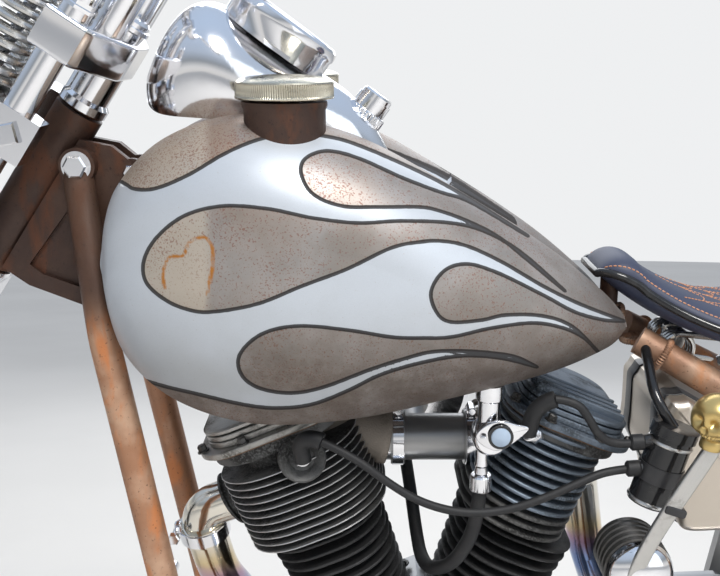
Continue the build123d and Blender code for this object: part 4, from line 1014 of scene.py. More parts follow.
@dataclass
class VTwin:
    """Two finned cylinders with heads, rocker covers, plugs and inlets, and the cases' screws."""

    deck: float = 140.0
    barrel_top: float = 271.0
    head_top: float = 386.0

    def barrel(self, bore: Bore) -> None:
        """Barrel core with ten thin fins that widen towards the head."""
        form = Form().lathe([(47, self.deck), (47, self.barrel_top)], (0, 0, 0), UP, 64)
        for i in range(10):
            scale = 0.86 + 0.015 * i
            form.deck(rounded(122 * scale, 136 * scale, 50), 0, self.deck + 10 + 12.2 * i, 3.4)
        form.deck(rounded(104, 116, 40), 0, self.deck, 6, 1)
        node = f"cylinder_{bore.word}"
        form.build(f"{node}_fins", SHADED_BARREL_METAL, place=bore.park, replaces=[node])

    def head(self, bore: Bore) -> None:
        """Head block with rounded fins, the roof, and the exhaust port's collars.

        The front head has close fins with lit edges, the rear one has coarser fins, pale from the
        fourth up.
        """
        length, shift, low = bore.length, bore.shift, self.barrel_top + 2
        form = Form().deck(rounded(80, 120, 24), 0, self.barrel_top, 115, 3)
        edges = Form()
        if bore.side == 1:
            for i in range(11):
                form.deck(rounded(length, 168, 60), shift, low + 8 * i, 2.4, 1.0, 3)
                edges.deck(rounded(length + 0.7, 168.7, 60.3), shift, low + 8 * i + 0.6, 1.1, 0.3, 2)
            edges.build("head_front_fin_edges", LIT_EDGE, place=bore.park)
        else:
            for i in range(12):
                (form if i < 3 else edges).deck(rounded(length - 12, 168, 56), shift + 6, low + 9.6 * i, 3.8)
            edges.build("head_rear_upper_fins", FIN_ALLOY, place=bore.park)
        form.deck(rounded(length - 8, 160, 50), shift, self.head_top - 14, 14, 2)
        way = np.subtract(*bore.port[::-1])
        reach = float(np.linalg.norm(way))
        steps = ((25, 0), (29, 0.8), (29, 2.8), (25, 3.6))
        collar = [(r, reach - 26 + 7 * k + h) for k in range(4) for r, h in steps]
        form.lathe([(25, 0), *collar, (25, reach)], bore.port[0], way)
        node = f"head_{bore.word}"
        form.build(f"{node}_fins", SHADED_HEAD_METAL, place=bore.park, replaces=[node])

    def spark_plug(self, bore: Bore) -> None:
        """Plug with its hexagon and ribs, and the front head's dished round well that ends the fins."""
        at, height = bore.plug
        start, end = np.array([0.4 * at, 40, height - 8.0]), np.array([at, 96.0, height + 4])
        way, reach = unit(end - start), float(np.linalg.norm(end - start))
        steps = ((7.0, 0.6), (7.0, 3.0), (5.6, 3.8), (5.6, 5.6))
        ribs = [(r, reach - 26 + 6 * k + h) for k in range(4) for r, h in steps]
        form = Form().lathe([(6.2, reach - 26), *ribs, (6.0, reach)], start, way, 32)
        form.lathe([(10, reach - 36), (10, reach - 27), (8.6, reach - 25)], start, way, 6)
        form.lathe([(7, 0), (7, reach - 30)], start, way, 24)
        form.build(f"plug_{bore.word}", CHROME, place=bore.park, crease=28)
        if bore.side == 1:
            rim = reach - 8
            well = [(23, 0), (23, rim - 2), (21, rim), (17, rim - 2), (12, rim - 7), (0.1, rim - 8)]
            Form().lathe(well, start, way, 64).build("plug_well_front", SHADED_HEAD_METAL, place=bore.park)

    def casting(self, bore: Bore) -> None:
        """Inlet casting on the V side, with ribs along it, a bolt lug and its clamp."""
        start, end = (np.asarray(q, float) for q in bore.inlet)
        way, reach = unit(end - start), float(np.linalg.norm(end - start))
        tube = [(24, 0), (27, 3), (27, reach - 12), (29, reach - 9), (29, reach - 1), (28, reach)]
        form = Form().lathe(tube, start, way, 56)
        left = unit(np.cross(way, UP)) * -bore.side
        rise = np.cross(way, left)
        last = reach - 10
        rib = np.array([(0, 18), (0, 41), (0.3 * reach, 39), (0.7 * reach, 33), (last, 29), (last, 18)])
        for turn in np.radians((-78, -52, -26, 0, 26, 52, 78)):
            out = math.cos(turn) * left + math.sin(turn) * rise
            form.slab(rib, start - 1.6 * np.cross(way, out), way, out, 3.2, 1.0, 3)
        lug = start + way * (reach - 8) + 33 * unit(0.75 * left + 0.66 * np.sign(rise[2]) * rise)
        form.ring([(3.4, -4), (7.6, -4), (7.6, 4), (3.4, 4)], lug, left, 32)
        form.build(f"inlet_{bore.word}", WARM_CASTING)
        x = bore.clamp_x
        form = Form().lathe([(28.2, 0), (29.4, 0.6), (29.4, 11.4), (28.2, 12)], (x, 0, 628), AHEAD, 64)
        form.bar((x + 6, -6, 660), (x + 6, 14, 660), 4.2, 16, 0.8)
        for y in (-4, 8):
            form.slab(rounded(10, 9, 2.5), (x + 6, y, 656), AHEAD, UP, 4, 0.8)
        form.build(f"intake_clamp_{bore.word}", CHROME)

    def cover(self, bore: Bore) -> None:
        """Rocker cover in stacked steps, ribbed on the rear one, with its gasket and flange bolts."""
        length, shift, top = bore.length, bore.shift, self.head_top
        form = Form().deck(rounded(length + 6, 170, 40), shift, top + 0.6, 6.4, 1.4)
        for low, inset, thick, edge in ((7, 0, 6.2, 1.3), (13.8, 1.2, 5.4, 1.3), (19.8, 0.4, 6.2, 4.5)):
            form.deck(rounded(length - 16 - inset, 152 - inset, 34), shift, top + low, thick, edge, 6)
        if bore.side == -1:
            for y in (16, 30, 44, 58):
                form.deck(rounded(length - 34, 4.4, 2), shift, top + 24, 9, 1.2, y=y)
        form.build(f"rocker_cover_{bore.word}", COVER_ALLOY if bore.side == 1 else FIN_ALLOY, place=bore.park)
        Form().deck(rounded(length + 2, 166, 40), shift, top - 0.6, 1.6, 0.2).build(
            f"rocker_gasket_{bore.word}", GASKET, place=bore.park)
        seats = [(shift + a * x, b * y, top + 7)
                 for x, y in ((length / 2 - 3, 58), (26, 80.0)) for a in SIDES for b in SIDES]
        hex_bolts(seats, UP, 9, 6).build(f"rocker_bolts_{bore.word}", BLACK_STEEL, place=bore.park, crease=25)

    def screws(self) -> None:
        """Screws round the timing cover and the primary cover, and nuts at the barrels' feet."""
        rim = ((748, 360), (808, 382), (908, 354), (912, 288), (836, 226), (774, 248))
        form = hex_bolts([(x, -108, z) for x, z in rim], (0, -1, 0), 9, 5)
        form.build("timing_cover_screws", CHROME, crease=25)
        hull = arc_line(((470, 436), (362, 330), (470, 224)), ((800, 222), (878, 300), (800, 378)), n=5)
        form = hex_bolts([(x, 158, z) for x, z in hull], LEFT, 10, 5)
        form.build("primary_cover_screws", DULL_CHROME, crease=25)
        derby = [(52, 0), (54, 2), (56, 2), (58, 0), (58, -2), (52, -2)]
        form = Form().ring(derby, (470, 168, 330), LEFT, 96)
        form.ring([(30, 0), (31, 1.6), (33, 1.6), (34, 0), (34, -2), (30, -2)], (800, 166, 300), LEFT, 72)
        form.build("primary_cover_rings", CHROME)
        for bore in BORES:
            seats = [(a * 44, b * 52, self.deck + 5) for a in SIDES for b in SIDES]
            nuts = hex_bolts(seats, UP, 12, 4)
            nuts.build(f"barrel_nuts_{bore.word}", BLACK_STEEL, place=bore.park, crease=25)

    def dress(self) -> None:
        """Builds both cylinders and the screws."""
        for bore in BORES:
            for make in (self.barrel, self.head, self.spark_plug, self.casting, self.cover):
                make(bore)
        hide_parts("rocker_covers")
        self.screws()


# Cords


@dataclass
class Cords:
    """Plug leads and the fuel hose, on the routes that the solids follow."""

    front_lead: tuple[Point, ...] = (
        (898, 111, 668), (870, 117, 657), (838, 120, 632), (806, 122, 612), (768, 123, 602), (728, 122, 604),
        (690, 120, 617), (658, 116, 631), (634, 112, 640), (612, 110, 641))
    rear_lead: tuple[Point, ...] = (
        (684, 106, 708), (665, 109, 707), (653, 112, 691), (645, 114, 676), (629, 113, 666), (610, 111, 667))
    fuel_hose: tuple[Point, ...] = (
        (749, 98, 622), (751, 99, 596), (756, 98, 566), (772, 90, 532), (792, 66, 512), (800, 34, 508),
        (803, 0, 518), (808, -36, 552), (815, -70, 592))

    def tube(self, name: str, route: Array, diameter: float) -> Piece:
        """A rubber cord in millimetres, as one open NURBS spline of order 3 through its route."""
        points = STANCE.park(np.asarray(route, float))
        curve = bpy.data.curves.new(name, "CURVE")
        curve.dimensions = "3D"
        spline = curve.splines.new("NURBS")
        spline.points.add(len(points) - 1)
        spline.points.foreach_set("co", np.hstack([points, np.ones((len(points), 1))]).ravel())
        spline.order_u = 3
        spline.use_endpoint_u = True
        spline.resolution_u = 10
        curve.bevel_depth = diameter / 2000.0
        curve.bevel_resolution = 4
        curve.use_fill_caps = True
        curve.materials.append(RUBBER.material())
        piece = link(name, curve)
        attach(piece, Body.CHASSIS.value)
        return piece

    def dress(self) -> None:
        table = (
            ("spark_lead_front", self.front_lead, 8.0, 0.308, "medium"),
            ("spark_lead_rear", self.rear_lead, 8.0, 0.092, "medium"),
            ("fuel_hose", self.fuel_hose, 14.0, 0.300, "stiff"),
        )
        for node, route, diameter, length, stiffness in table:
            piece = self.tube(f"{node}_cord", route, diameter)
            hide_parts(node)
            exit_ = tuple(float(v) for v in STANCE.park(np.asarray(route[0], float)))


# Dash


@dataclass
class Dash:
    """Speedometer, ignition switch and screw on the chrome dash."""

    gauge: Point = (946.0, 0.0, 1022.0)
    switch: Point = (868.0, 0.0, 945.0)
    boss: Point = (901.0, 0.0, 973.0)
    slope: float = math.radians(36.0)

    def __post_init__(self) -> None:
        """Works out the gauge's forward and outward axes."""
        c, s = polar(self.slope)
        self._ahead, self._out = np.array([c, 0, s]), np.array([-s, 0, c])

    def hand(self, form: Form, outline: Array, degrees: float, reach: float, lift: float,
             *shape: float) -> None:
        """Adds a flat mark on the dial, in the direction of an angle from straight ahead."""
        c, s = polar(math.radians(degrees))
        way = c * self._ahead + s * np.array(LEFT)
        origin = np.asarray(self.gauge) + way * reach + self._out * lift
        form.slab(outline, origin, way, np.cross(self._out, way), *shape)

    def speedometer(self) -> None:
        """Bezel, black face with ticks and a needle, and a low glass dome."""
        centre, out = np.asarray(self.gauge), self._out
        bezel = [(45, 23), (45.5, 27), (48, 30), (51.5, 30.4), (54.6, 28), (55.6, 24), (55.6, 20), (54.4, 18),
                 (54.4, 4), (53, 4)]
        Form().ring(bezel, centre, out, 128).build("speedometer_bezel", CHROME, slot="chrome")
        Form().lathe([(45, 24.1), (45, 24.8)], centre, out, 96).build("speedometer_face", FACE_BLACK)
        marks, needle = Form(), Form()
        for k in range(41):
            long, wide = (3.6, 0.7) if k % 4 else (7.0, 1.3)
            mark = rounded(long, wide, 0.3, 3)
            self.hand(marks, mark, -135 + 270 * k / 40, 40 - long / 2, 24.8, 0.3, 0.1, 2)
        marks.build("speedometer_marks", FACE_WHITE)
        pointer = np.array([(-9, -1.6), (33, -0.5), (34, 0), (33, 0.5), (-9, 1.6)])
        self.hand(needle, pointer, -128, 0, 25.6, 0.6, 0.2, 2)
        needle.lathe([(4, 24.8), (4, 26.6), (3, 27)], centre, out, 24).build("speedometer_needle", RED_PAINT)
        dome = [(45.2, 26.4), (40, 27.8), (28, 29.4), (14, 30.3), (0.1, 30.6)]
        inner = [(0.1, 29.4), (14, 29.1), (28, 28.2), (40, 26.8), (45.2, 25.6)]
        Form().ring(dome + inner, centre, out, 96).build("speedometer_glass", CLEAR_GLASS)

    def controls(self) -> None:
        """Ignition switch with its knurled nut and key slot, and the hexagon-socket screw."""
        base, out = np.asarray(self.switch), self._out
        rows = np.array([(17.6, 10, 0), (19.2, 11, 0.7), (19.2, 20, 0.7), (18.6, 21, 0), (16.5, 22, 0)])
        r, h, knurl = rows.T[..., None, None]
        a = turns(192)[None, :, None]
        u, v, w = axes_of(out)
        ring = base + h * w + (r + knurl * np.cos(32 * a)) * (np.cos(a) * u + np.sin(a) * v)
        form = Form().grid(ring, wrap_v=True, caps=True)
        form.lathe([(15.5, 30), (15.5, 38), (14, 40), (5.4, 40.6), (5.4, 37), (0.1, 37)], base, out, 64)
        form.build("ignition_switch_cap", CHROME)
        slot, across = rounded(9, 2.2, 1.0, 4), np.cross(out, LEFT)
        form = Form().slab(slot, base + out * 37.05, LEFT, across, 0.5, 0.1, 2)
        form.build("ignition_key_slot", FACE_BLACK)
        screw = [(9.5, -14), (9.5, 10), (8.6, 11), (4.8, 11), (4.8, 5), (0.1, 5)]
        Form().lathe(screw, self.boss, out).build("dash_screw", CHROME)

    def dress(self) -> None:
        """Builds the gauge and the controls."""
        self.speedometer()
        self.controls()


# Saddle


@dataclass
class Saddle:
    """Sprung solo saddle in blue-black leather with copper web stitching."""

    web_centre: tuple[float, float] = (450.0, 0.0)
    web_squash: float = 0.78
    middle_x: float = 470.0
    piping: float = 4.2

    def __post_init__(self) -> None:
        """Works out the saddle's top, underside and half width by x from its arcs."""
        top = arc_line(((634, 808), (618, 824), (590, 814)), ((590, 814), (470, 772), (345, 806)),
                       ((345, 806), (318, 804), (306, 778)))
        under = arc_line(((306, 778), (460, 736), (634, 808)))
        plan = arc_line(((644, 0), (631, 31), (600, 44)), ((600, 44), (500, 84), (420, 132)),
                        ((420, 132), (338, 94), (300, 0)))
        self._lines = tuple(line[np.argsort(line[:, 0])] for line in (top, under, plan))

    def along(self, reach: float, count: int) -> Array:
        """Places from nose to tail, closer together at the ends."""
        return self.middle_x + reach * np.cos(np.linspace(0, math.pi, count))

    def sizes(self, x: Array) -> tuple[Array, Array, Array]:
        """Middle height, half thickness and half width at each x."""
        top, under, half = (np.interp(x, *line.T) for line in self._lines)
        return (top + under) / 2, (top - under) / 2, half

    def crown(self, x: Array, y: Array) -> Array:
        """Points on the leather's top: z = middle + thick (1 - (y / half)^(10/3))^0.375."""
        middle, thick, half = self.sizes(x)
        share = np.clip(np.abs(y) / half, 0, 1)
        return np.stack([x, y, middle + thick * (1 - share ** (2 / 0.6)) ** 0.375], axis=-1)

    def leather(self) -> None:
        """Padded skin: each section is a squared-off ellipse, closed at the nose and tail."""
        x = self.along(163.6, 120)
        a = turns(120)[None]
        middle, thick, half = (v[:, None] for v in self.sizes(x))
        c, s = np.cos(a), np.sin(a)
        y = half * np.sign(c) * np.abs(c) ** 0.6
        z = middle + thick * np.sign(s) * np.abs(s) ** 0.75
        grid = np.stack([np.broadcast_to(x[:, None], y.shape), y, z], axis=2)
        form = Form().grid(grid, wrap_v=True, caps=True)
        piece = form.build("seat_leather", HIDE, replaces=["seat"], slot="hide", crease=60)

    def on_crown(self, r: Array, a: Array) -> Array:
        """Web points lifted onto the crown, keeping those inside 90 percent of the half width."""
        x = np.clip(self.web_centre[0] + r * np.cos(a), 322, 628)
        y = self.web_centre[1] + self.web_squash * r * np.sin(a)
        keep = np.abs(y) < 0.9 * self.sizes(x)[2]
        return self.crown(x[keep], y[keep])

    def lines(self) -> list[Array]:
        """The web's twelve spokes and its rings, which sag between them, and the seam inside the edge."""
        spokes = [self.on_crown(np.linspace(6, 118, 60), a) for a in turns(12)]
        turn = np.linspace(0, 2 * math.pi, 481)
        sag = 1 - 0.16 * np.abs(np.sin(6 * turn))
        x = self.along(158, 160)
        left = self.crown(x, 0.93 * self.sizes(x)[2])
        seam = np.vstack([left, (left * (1, -1, 1))[::-1]])
        return [*spokes, *(self.on_crown(ring * sag, turn) for ring in (22, 44, 68, 94)), seam]

    def thread(self, gap: float = 4.4) -> None:
        """Copper stitches a gap apart along the web and the seam."""
        middles, ways = [], []
        for line in (line for line in self.lines() if len(line) > 3):
            at = np.arange(gap / 2, run_of(line)[-1], gap)
            middles.append(at_run(line, at))
            ways.append(unit(at_run(line, at + 0.5) - middles[-1] + 1e-9))
        stitch = [(0.55, -1.6), (0.8, -0.7), (0.8, 0.7), (0.55, 1.6)]
        Form().lathes(stitch, np.vstack(middles), np.vstack(ways)).build("seat_stitching", COPPER_THREAD)

    def pipe(self) -> None:
        """Black piping round the saddle's widest edge."""
        x = self.along(163.4, 150)
        middle, _, half = self.sizes(x)
        left = np.stack([x, half, middle], axis=1)
        loop = np.vstack([left, (left * (1, -1, 1))[::-1][1:-1]])
        tangent = unit(np.roll(loop, -1, axis=0) - np.roll(loop, 1, axis=0))
        side = unit(np.cross(tangent, UP))
        rise = np.cross(side, tangent)
        a = turns(12)[None, :, None]
        grid = loop[:, None] + self.piping * (np.cos(a) * side[:, None] + np.sin(a) * rise[:, None])
        Form().grid(grid, wrap_u=True, wrap_v=True).build("seat_piping", GLOSS_BLACK)

    def springs(self) -> None:
        """Hairpin springs: a wire coil of three turns with two long legs, either side."""
        turn = np.linspace(0, 6 * math.pi, 120)
        x, z = 549 + 15.5 * np.cos(turn + 1.2), 731 + 15.5 * np.sin(turn + 1.2)
        coil = np.stack([x, 7 + 21 * turn / turn[-1], z], axis=1)
        legs = ((-1, (545, 26, 746), (500, 28, 742), (446, 30, 738)),
                (0, (545, 12, 716), (510, 38, 702), (474, 66, 689)))
        for side in SIDES:
            flip = np.array([1, side, 1])
            form = Form().sweep(coil * flip, 3.0, 10)
            for end, *leg in legs:
                form.sweep(smooth_line(np.array([coil[end], *leg]) * flip, 40), 3.2, 10)
            form.bar((474, side * 58, 692), (474, side * 76, 680), 6, 16, 1)
            form.build(f"hairpin_spring_{SIDES[side]}", DULL_CHROME)
        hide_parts("seat_springs")

    def dress(self) -> None:
        """Builds the leather, thread, piping and springs."""
        self.leather()
        self.thread()
        self.pipe()
        self.springs()


# Fork


@dataclass
class Springer:
    """Wound springs, seats, trees, screws and nuts of the springer fork, on the steering axis."""

    spring: tuple[float, float] = (75.0, 45.0)
    runs: tuple[tuple[str, float, float, int], ...] = (  # word, foot, head, coils
        ("upper", -8.0, 102.0, 10), ("lower", -172.0, -54.0, 11))

    def fit(self, form: Form, name: str, crease: float = 34.0, finish: Finish = CHROME,
            **said: object) -> None:
        """Builds a piece of the fork."""
        form.build(name, finish, Body.FORK, STANCE.fork_park, crease, **said)

    def springs(self) -> None:
        """Four wound springs, each wire circle following x = a cos, y = a sin, z rising evenly."""
        x, y = self.spring
        for side in SIDES:
            for word, low, high, coils in self.runs:
                turn = np.linspace(0, 2 * math.pi * coils, 28 * coils)
                z = low + 4 + (high - low - 8) * np.clip((turn / turn[-1] - 0.06) / 0.88, 0, 1)
                path = np.stack([x + 21.8 * np.cos(turn), side * y + 21.8 * np.sin(turn), z], axis=1)
                form = Form().sweep(path, 4.0, 10)
                for seat in (low, high - 2.4):
                    form.lathe([(22, 0), (24, 0.8), (24, 2.0), (22, 2.4)], (x, side * y, seat), UP, 40)
                self.fit(form, f"fork_spring_{SIDES[side]}_{word}", finish=DULL_CHROME, slot="chrome")
        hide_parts("fork_springs")

    def trees(self) -> None:
        """Top and lower tree with eased edges, the stem, its cups and the top nut."""
        corners = [(-22, -28), (-22, 28), (6, 104), (50, 104), (34, 40), (34, -40), (50, -104), (6, -104)]
        a, share = np.array(corners)[:, None], np.linspace(0.06, 0.94, 12)[:, None]
        outline = (a * (1 - share) + np.roll(a, -1, axis=0) * share).reshape(-1, 2)
        form = Form().deck(outline, 0, 46, 38, 4.5, 6).deck(outline, 0, -216, 32, 4.5, 6)
        form.lathe([(12.7, -214), (12.7, 90)], (0, 0, 0))
        form.lathe([(22, 2), (24, 4), (24, 12), (20, 16), (20, 46)], (0, 0, 0), UP, 64)
        form.lathe([(20, -184), (23.6, -182), (23.6, -177.5), (20, -176)], (0, 0, 0), UP, 64)
        self.fit(form, "fork_tree_blocks", replaces=["fork_trees"], slot="chrome")

    def fasteners(self) -> None:
        """Pinch screws of the lower tree, cap nuts of the legs and the bridge's screws."""
        caps, square = Form(), Form()
        for side, word in SIDES.items():
            screw = hex_bolts([(28, side * 104, -200)], (0, side, 0), 15, 8)
            self.fit(screw, f"tree_pinch_screws_{word}", 25)
            caps.lathe([(15, 0), (15, 3), (14, 4), (14, 8)], (28, side * 88, 92), UP, 6)
            dome = [(12, 0), (12, 5), (11, 8), (8, 12), (4, 14.4), (0.5, 15)]
            caps.lathe(dome, (28, side * 88, 100), UP, 32)
            caps.lathe([(13, 0), (13, 8), (11, 11)], (75, side * 45, 104), UP, 6)
            caps.lathe([(8, 0), (8, 4), (6, 8), (0.5, 10)], (75, side * 45, 121), UP, 24)
            square.lathe([(13, 0), (13, 6), (11, 8)], (22, side * 102, -31), (0, side, 0), 4)
        caps.lathe([(19, 0), (19, 4), (17, 5), (17, 9), (14, 12), (0.5, 14)], (0, 0, 92), UP, 40)
        self.fit(caps, "fork_cap_nuts", 28)
        self.fit(square, "bridge_screws", 25)

    def dress(self) -> None:
        """Builds the springs, the trees and the fasteners."""
        self.springs()
        self.trees()
        self.fasteners()


# Wheels and chain


def mirrored(rows: Sequence[Point]) -> list[Point]:
    """(radius, height) points on the other side, in the order that goes on from the first ones."""
    return [(r, -h) for r, h in reversed(rows)]


@dataclass
class Wheel:
    """Treaded tyre on a spoked steel rim with its spool hub."""

    name: str
    body: Body
    centre: Point
    radius: float
    width: float
    bead: float
    shoulder: tuple[float, float]
    hub: tuple[float, float, float, float]  # barrel, flange, half length, flange place
    blocks: int
    spoke_count: int = 40
    spoke_row: float = 3.4
    tread_points: int = 58
    tread_depth: float = 4.0

    def section(self) -> Array:
        """Closed tyre section as (radius, y): tread arc, two wall arcs and the beads."""
        half, drop = self.shoulder
        bead, seat, wall, edge = self.bead, 0.3 * self.width, self.bead + 14, self.radius - drop
        tread = arc_line(((edge, -half), (self.radius, 0), (edge, half)), n=self.tread_points)
        right = arc_line(((edge, half), ((wall + edge) / 2 + 4, self.width / 2), (wall, seat)), n=14)[1:]
        beads = np.array([(bead + 3, seat), (bead, seat - 3), (bead, 3 - seat), (bead + 3, -seat)])
        return np.vstack([tread, right, beads, (right * (1, -1))[::-1]])

    def groove(self, a: Array, y: Array) -> Array:
        """Depth share of the tread: two zigzag rain grooves and cuts across the shoulders.

        Args:
            a: Angles round the axle, shape (n, 1).
            y: Places across the tread, shape (1, m).

        Returns:
            Shares 0 to 1. A groove is open where |y| is within a groove's half width of its line,
            which sways by a sine of the angle; a cut is open for a tenth of each block.
        """
        half = self.shoulder[0]
        turn = self.blocks * a
        sway = 0.045 * half * np.sin(turn)
        rain = np.zeros(np.broadcast(a, y).shape)
        for line in (0.22, 0.62):
            off = np.abs(np.abs(y) - line * half - sway)
            rain = np.maximum(rain, np.clip(1.5 - off / (0.032 * half), 0, 1))
        phase = (turn / (2 * math.pi) + 0.35 * np.abs(y) / half) % 1.0
        on_shoulder = (np.abs(y) > 0.62 * half) * (np.abs(y) < 0.97 * half)
        return np.maximum(rain, np.clip(1.5 - np.abs(phase - 0.5) / 0.07, 0, 1) * on_shoulder)

    def tyre(self) -> None:
        """Tyre with its tread cut, and a raised line on each wall."""
        section = self.section()
        a = turns(720)[:, None]
        r, y = section[:, 0][None], section[:, 1][None]
        on_tread = (np.arange(len(section)) < self.tread_points)[None]
        line = self.bead + 0.42 * (self.radius - self.bead)
        wall_line = 0.9 * np.exp(-((r - line) / 1.6) ** 2) * ~on_tread
        r = r - self.tread_depth * self.groove(a, y) * on_tread
        y = y + np.sign(y) * wall_line
        x, _, z = self.centre
        grid = np.stack([x + r * np.cos(a), np.broadcast_to(y, r.shape), z + r * np.sin(a)], axis=2)
        node = f"{self.name}_tyre"
        Form().grid(grid, wrap_u=True, wrap_v=True).build(
            f"{node}_tread", TYRE_RUBBER, self.body, crease=50, replaces=[node], slot="tyre")

    def laced(self) -> None:
        """Rim with rolled edges, hub, crossed round spokes and their nipples."""
        seat, bead = 0.3 * self.width, self.bead
        half = [(bead + 8, seat - 0.2), (bead + 10, seat + 1), (bead + 10, seat + 3),
                (bead + 8.6, seat + 4.2), (bead - 2, seat + 4.2), (bead - 4, seat + 2.6),
                (bead - 4, 0.56 * seat), (bead - 6, 0.5 * seat), (bead - 18, 0.46 * seat)]
        inner = [(bead - 14, 0.36 * seat), (bead - 0.2, 0.42 * seat), (bead - 0.2, seat - 0.4)]
        form = Form().ring(half + mirrored(half) + mirrored(inner) + inner, self.centre, LEFT, 160)
        barrel, flange, reach, place = self.hub
        lip = flange - 3
        edge = [(9.6, reach), (16, reach), (barrel - 3, reach - 5), (barrel, reach - 9), (barrel, place + 5),
                (barrel + 3, place + 3), (lip, place + 3), (flange, place + 1.6), (flange, place - 1.6),
                (lip, place - 3), (barrel + 2, place - 3), (barrel, place - 6)]
        form.ring(edge + mirrored(edge), self.centre, LEFT, 72)
        centre = np.asarray(self.centre, float)
        for i in range(self.spoke_count):
            side, cross = (1 if i % 2 else -1), (1 if i % 4 < 2 else -1)
            row = side * (place + self.spoke_row * cross)
            rim_a = 2 * math.pi * i / self.spoke_count
            hub_a = rim_a + cross * math.radians(52)
            start = centre + ((flange - 5) * math.cos(hub_a), row, (flange - 5) * math.sin(hub_a))
            end = centre + ((bead - 15) * math.cos(rim_a), side * 5, (bead - 15) * math.sin(rim_a))
            form.bar(start, end, 1.6, 8)
            way = unit(end - start)
            form.lathe([(2.0, 0), (3.1, 1), (3.1, 13), (2.2, 14)], end - way * 14, way, 8)
            form.lathe([(1.6, 0), (3.0, 0.8), (3.0, 2.4), (1.2, 3.4)], start + (0, side * cross * 1.8, 0),
                       (0, -side * cross, 0), 8)
        form.build(f"{self.name}_laced_rim", CHROME, self.body, replaces=[f"{self.name}_rim"], slot="chrome")

    def dress(self) -> None:
        """Builds the tyre and the laced wheel."""
        self.tyre()
        self.laced()


FRONT_WHEEL = Wheel("front", Body.FRONT_WHEEL, (1658.0, 0.0, 345.64), 346.0, 82.0, 267.0, (30.0, 14.0),
                    (24.0, 44.0, 50.0, 32.0), 72)
REAR_WHEEL = Wheel("rear", Body.REAR_WHEEL, (0.0, 0.0, 325.0), 325.0, 130.0, 203.0, (50.0, 22.0),
                   (34.0, 60.0, 49.9, 40.0), 60)


@dataclass
class RollerChain:
    """Roller chain round both sprockets: rollers, pins, and inner and outer plates."""

    front: tuple[float, float] = (470.0, 330.0)
    rear: tuple[float, float] = (0.0, 325.0)
    pitch: float = 15.875
    teeth: tuple[int, int] = (24, 48)
    line_y: float = 82.0

    def path(self) -> Array:
        """Pin places round the loop, a pitch apart: arcs on both pitch circles and two straights."""
        small, large = (self.pitch / 2 / math.sin(math.pi / t) for t in self.teeth)
        f, r = np.array(self.front), np.array(self.rear)
        span, tilt = math.hypot(*(f - r)), math.atan2(*(f - r)[::-1])
        flare = math.asin((large - small) / span)
        upper, lower = tilt + math.pi / 2 - flare, tilt - math.pi / 2 + flare
        nose, tail = np.linspace(lower, upper, 200), np.linspace(upper, lower + 2 * math.pi, 400)
        loop = np.vstack([f + small * np.stack([np.cos(nose), np.sin(nose)], axis=1),
                          r + large * np.stack([np.cos(tail), np.sin(tail)], axis=1)])
        loop = np.vstack([loop, loop[:1]])
        length = run_of(loop)[-1]
        return at_run(loop, np.linspace(0, length, 2 * round(length / self.pitch / 2), endpoint=False))

    def dress(self) -> None:
        """Builds the chain; outer plates stand on every second link."""
        pins = self.path()
        places = np.stack([pins[:, 0], np.full(len(pins), self.line_y), pins[:, 1]], axis=1)
        form = Form().lathes([(5.0, -4.8), (5.0, 4.8)], places, LEFT, 14)
        form.lathes([(2.5, -9.8), (2.5, 9.8)], places, LEFT, 8)
        plate = rounded(12.6, self.pitch + 12.6, 6.2, 6)
        plate[:, 0] *= 1 - 0.3 * np.exp(-(plate[:, 1] / 4.5) ** 2)
        for k, (a, b) in enumerate(zip(places, np.roll(places, -1, axis=0))):
            along = unit(b - a)
            for low in (5.2, -7.0) if k % 2 else (7.2, -9.0):
                form.slab(plate, (a + b) / 2 + (0, low, 0), np.cross(LEFT, along), along, 1.8, 0.4, 2)
        form.build("chain_links", OILY_STEEL, crease=30, replaces=["chain"], slot="dark_steel")


# Small parts on the frame


@dataclass
class Petcock:
    """Fuel tap with its round lens, pointed lever and knurled nut."""

    lens: tuple[float, float] = (735.0, 677.0)
    hose: tuple[float, float] = (749.0, 98.0)

    def dress(self) -> None:
        """Builds the tap's chrome body and its parts; the nut's radius waves by 0.12 cos(30 angle)."""
        body = [(10, 0), (12.6, 3), (12.6, 14), (10.5, 16), (10.5, 38), (13, 40), (13.4, 46), (13, 54),
                (10.5, 56), (10.5, 93)]
        form = Form().lathe(body, (743, 98, 666))
        form.lathe([(13, 0), (16.6, 3), (17, 5), (17, 24), (15.5, 28), (13, 30)], (742, 84, 670), LEFT, 64)
        tail = [(709, 683), (722, 688), (735, 691), (748, 687), (757, 677), (752, 668), (739, 662),
                (727, 666)]
        form.plate(smooth_line(tail, 96, True), 117.5, 4, 1.2)
        form.lathe([(3.4, 0), (3.4, 1.4), (2.2, 2)], (751, 121.5, 675), LEFT, 24)
        x, y = self.hose
        barbs = [(5, 0), (6.4, 2), (5.4, 8), (6.4, 10), (5.4, 16), (6.4, 18), (5.6, 24), (5.6, 42)]
        form.lathe(barbs, (x, y, 622), UP, 32)
        form.build("petcock_body", CHROME, replaces=["petcock"], slot="chrome")
        across, up = self.lens
        Form().lathe([(11.6, 0), (11.6, 0.8)], (across, 121.2, up), LEFT).build("petcock_gap", GLOSS_BLACK)
        dome = [(9, 0), (8.6, 1.4), (5, 3.6), (0.1, 4.4)]
        Form().lathe(dome, (across, 122, up), LEFT).build("petcock_lens", BLUE_GLASS)
        a = turns(120)
        share, h = np.array([(0.9, 614.0), (1.0, 615.4), (1.0, 628.6), (0.9, 630.0)]).T[..., None]
        r = share * (10.2 + 0.12 * np.cos(30 * a))
        grid = np.stack([x + r * np.cos(a), y + r * np.sin(a), np.broadcast_to(h, r.shape)], axis=2)
        Form().grid(grid, wrap_v=True, caps=True).build("fuel_hose_nut", CHROME)


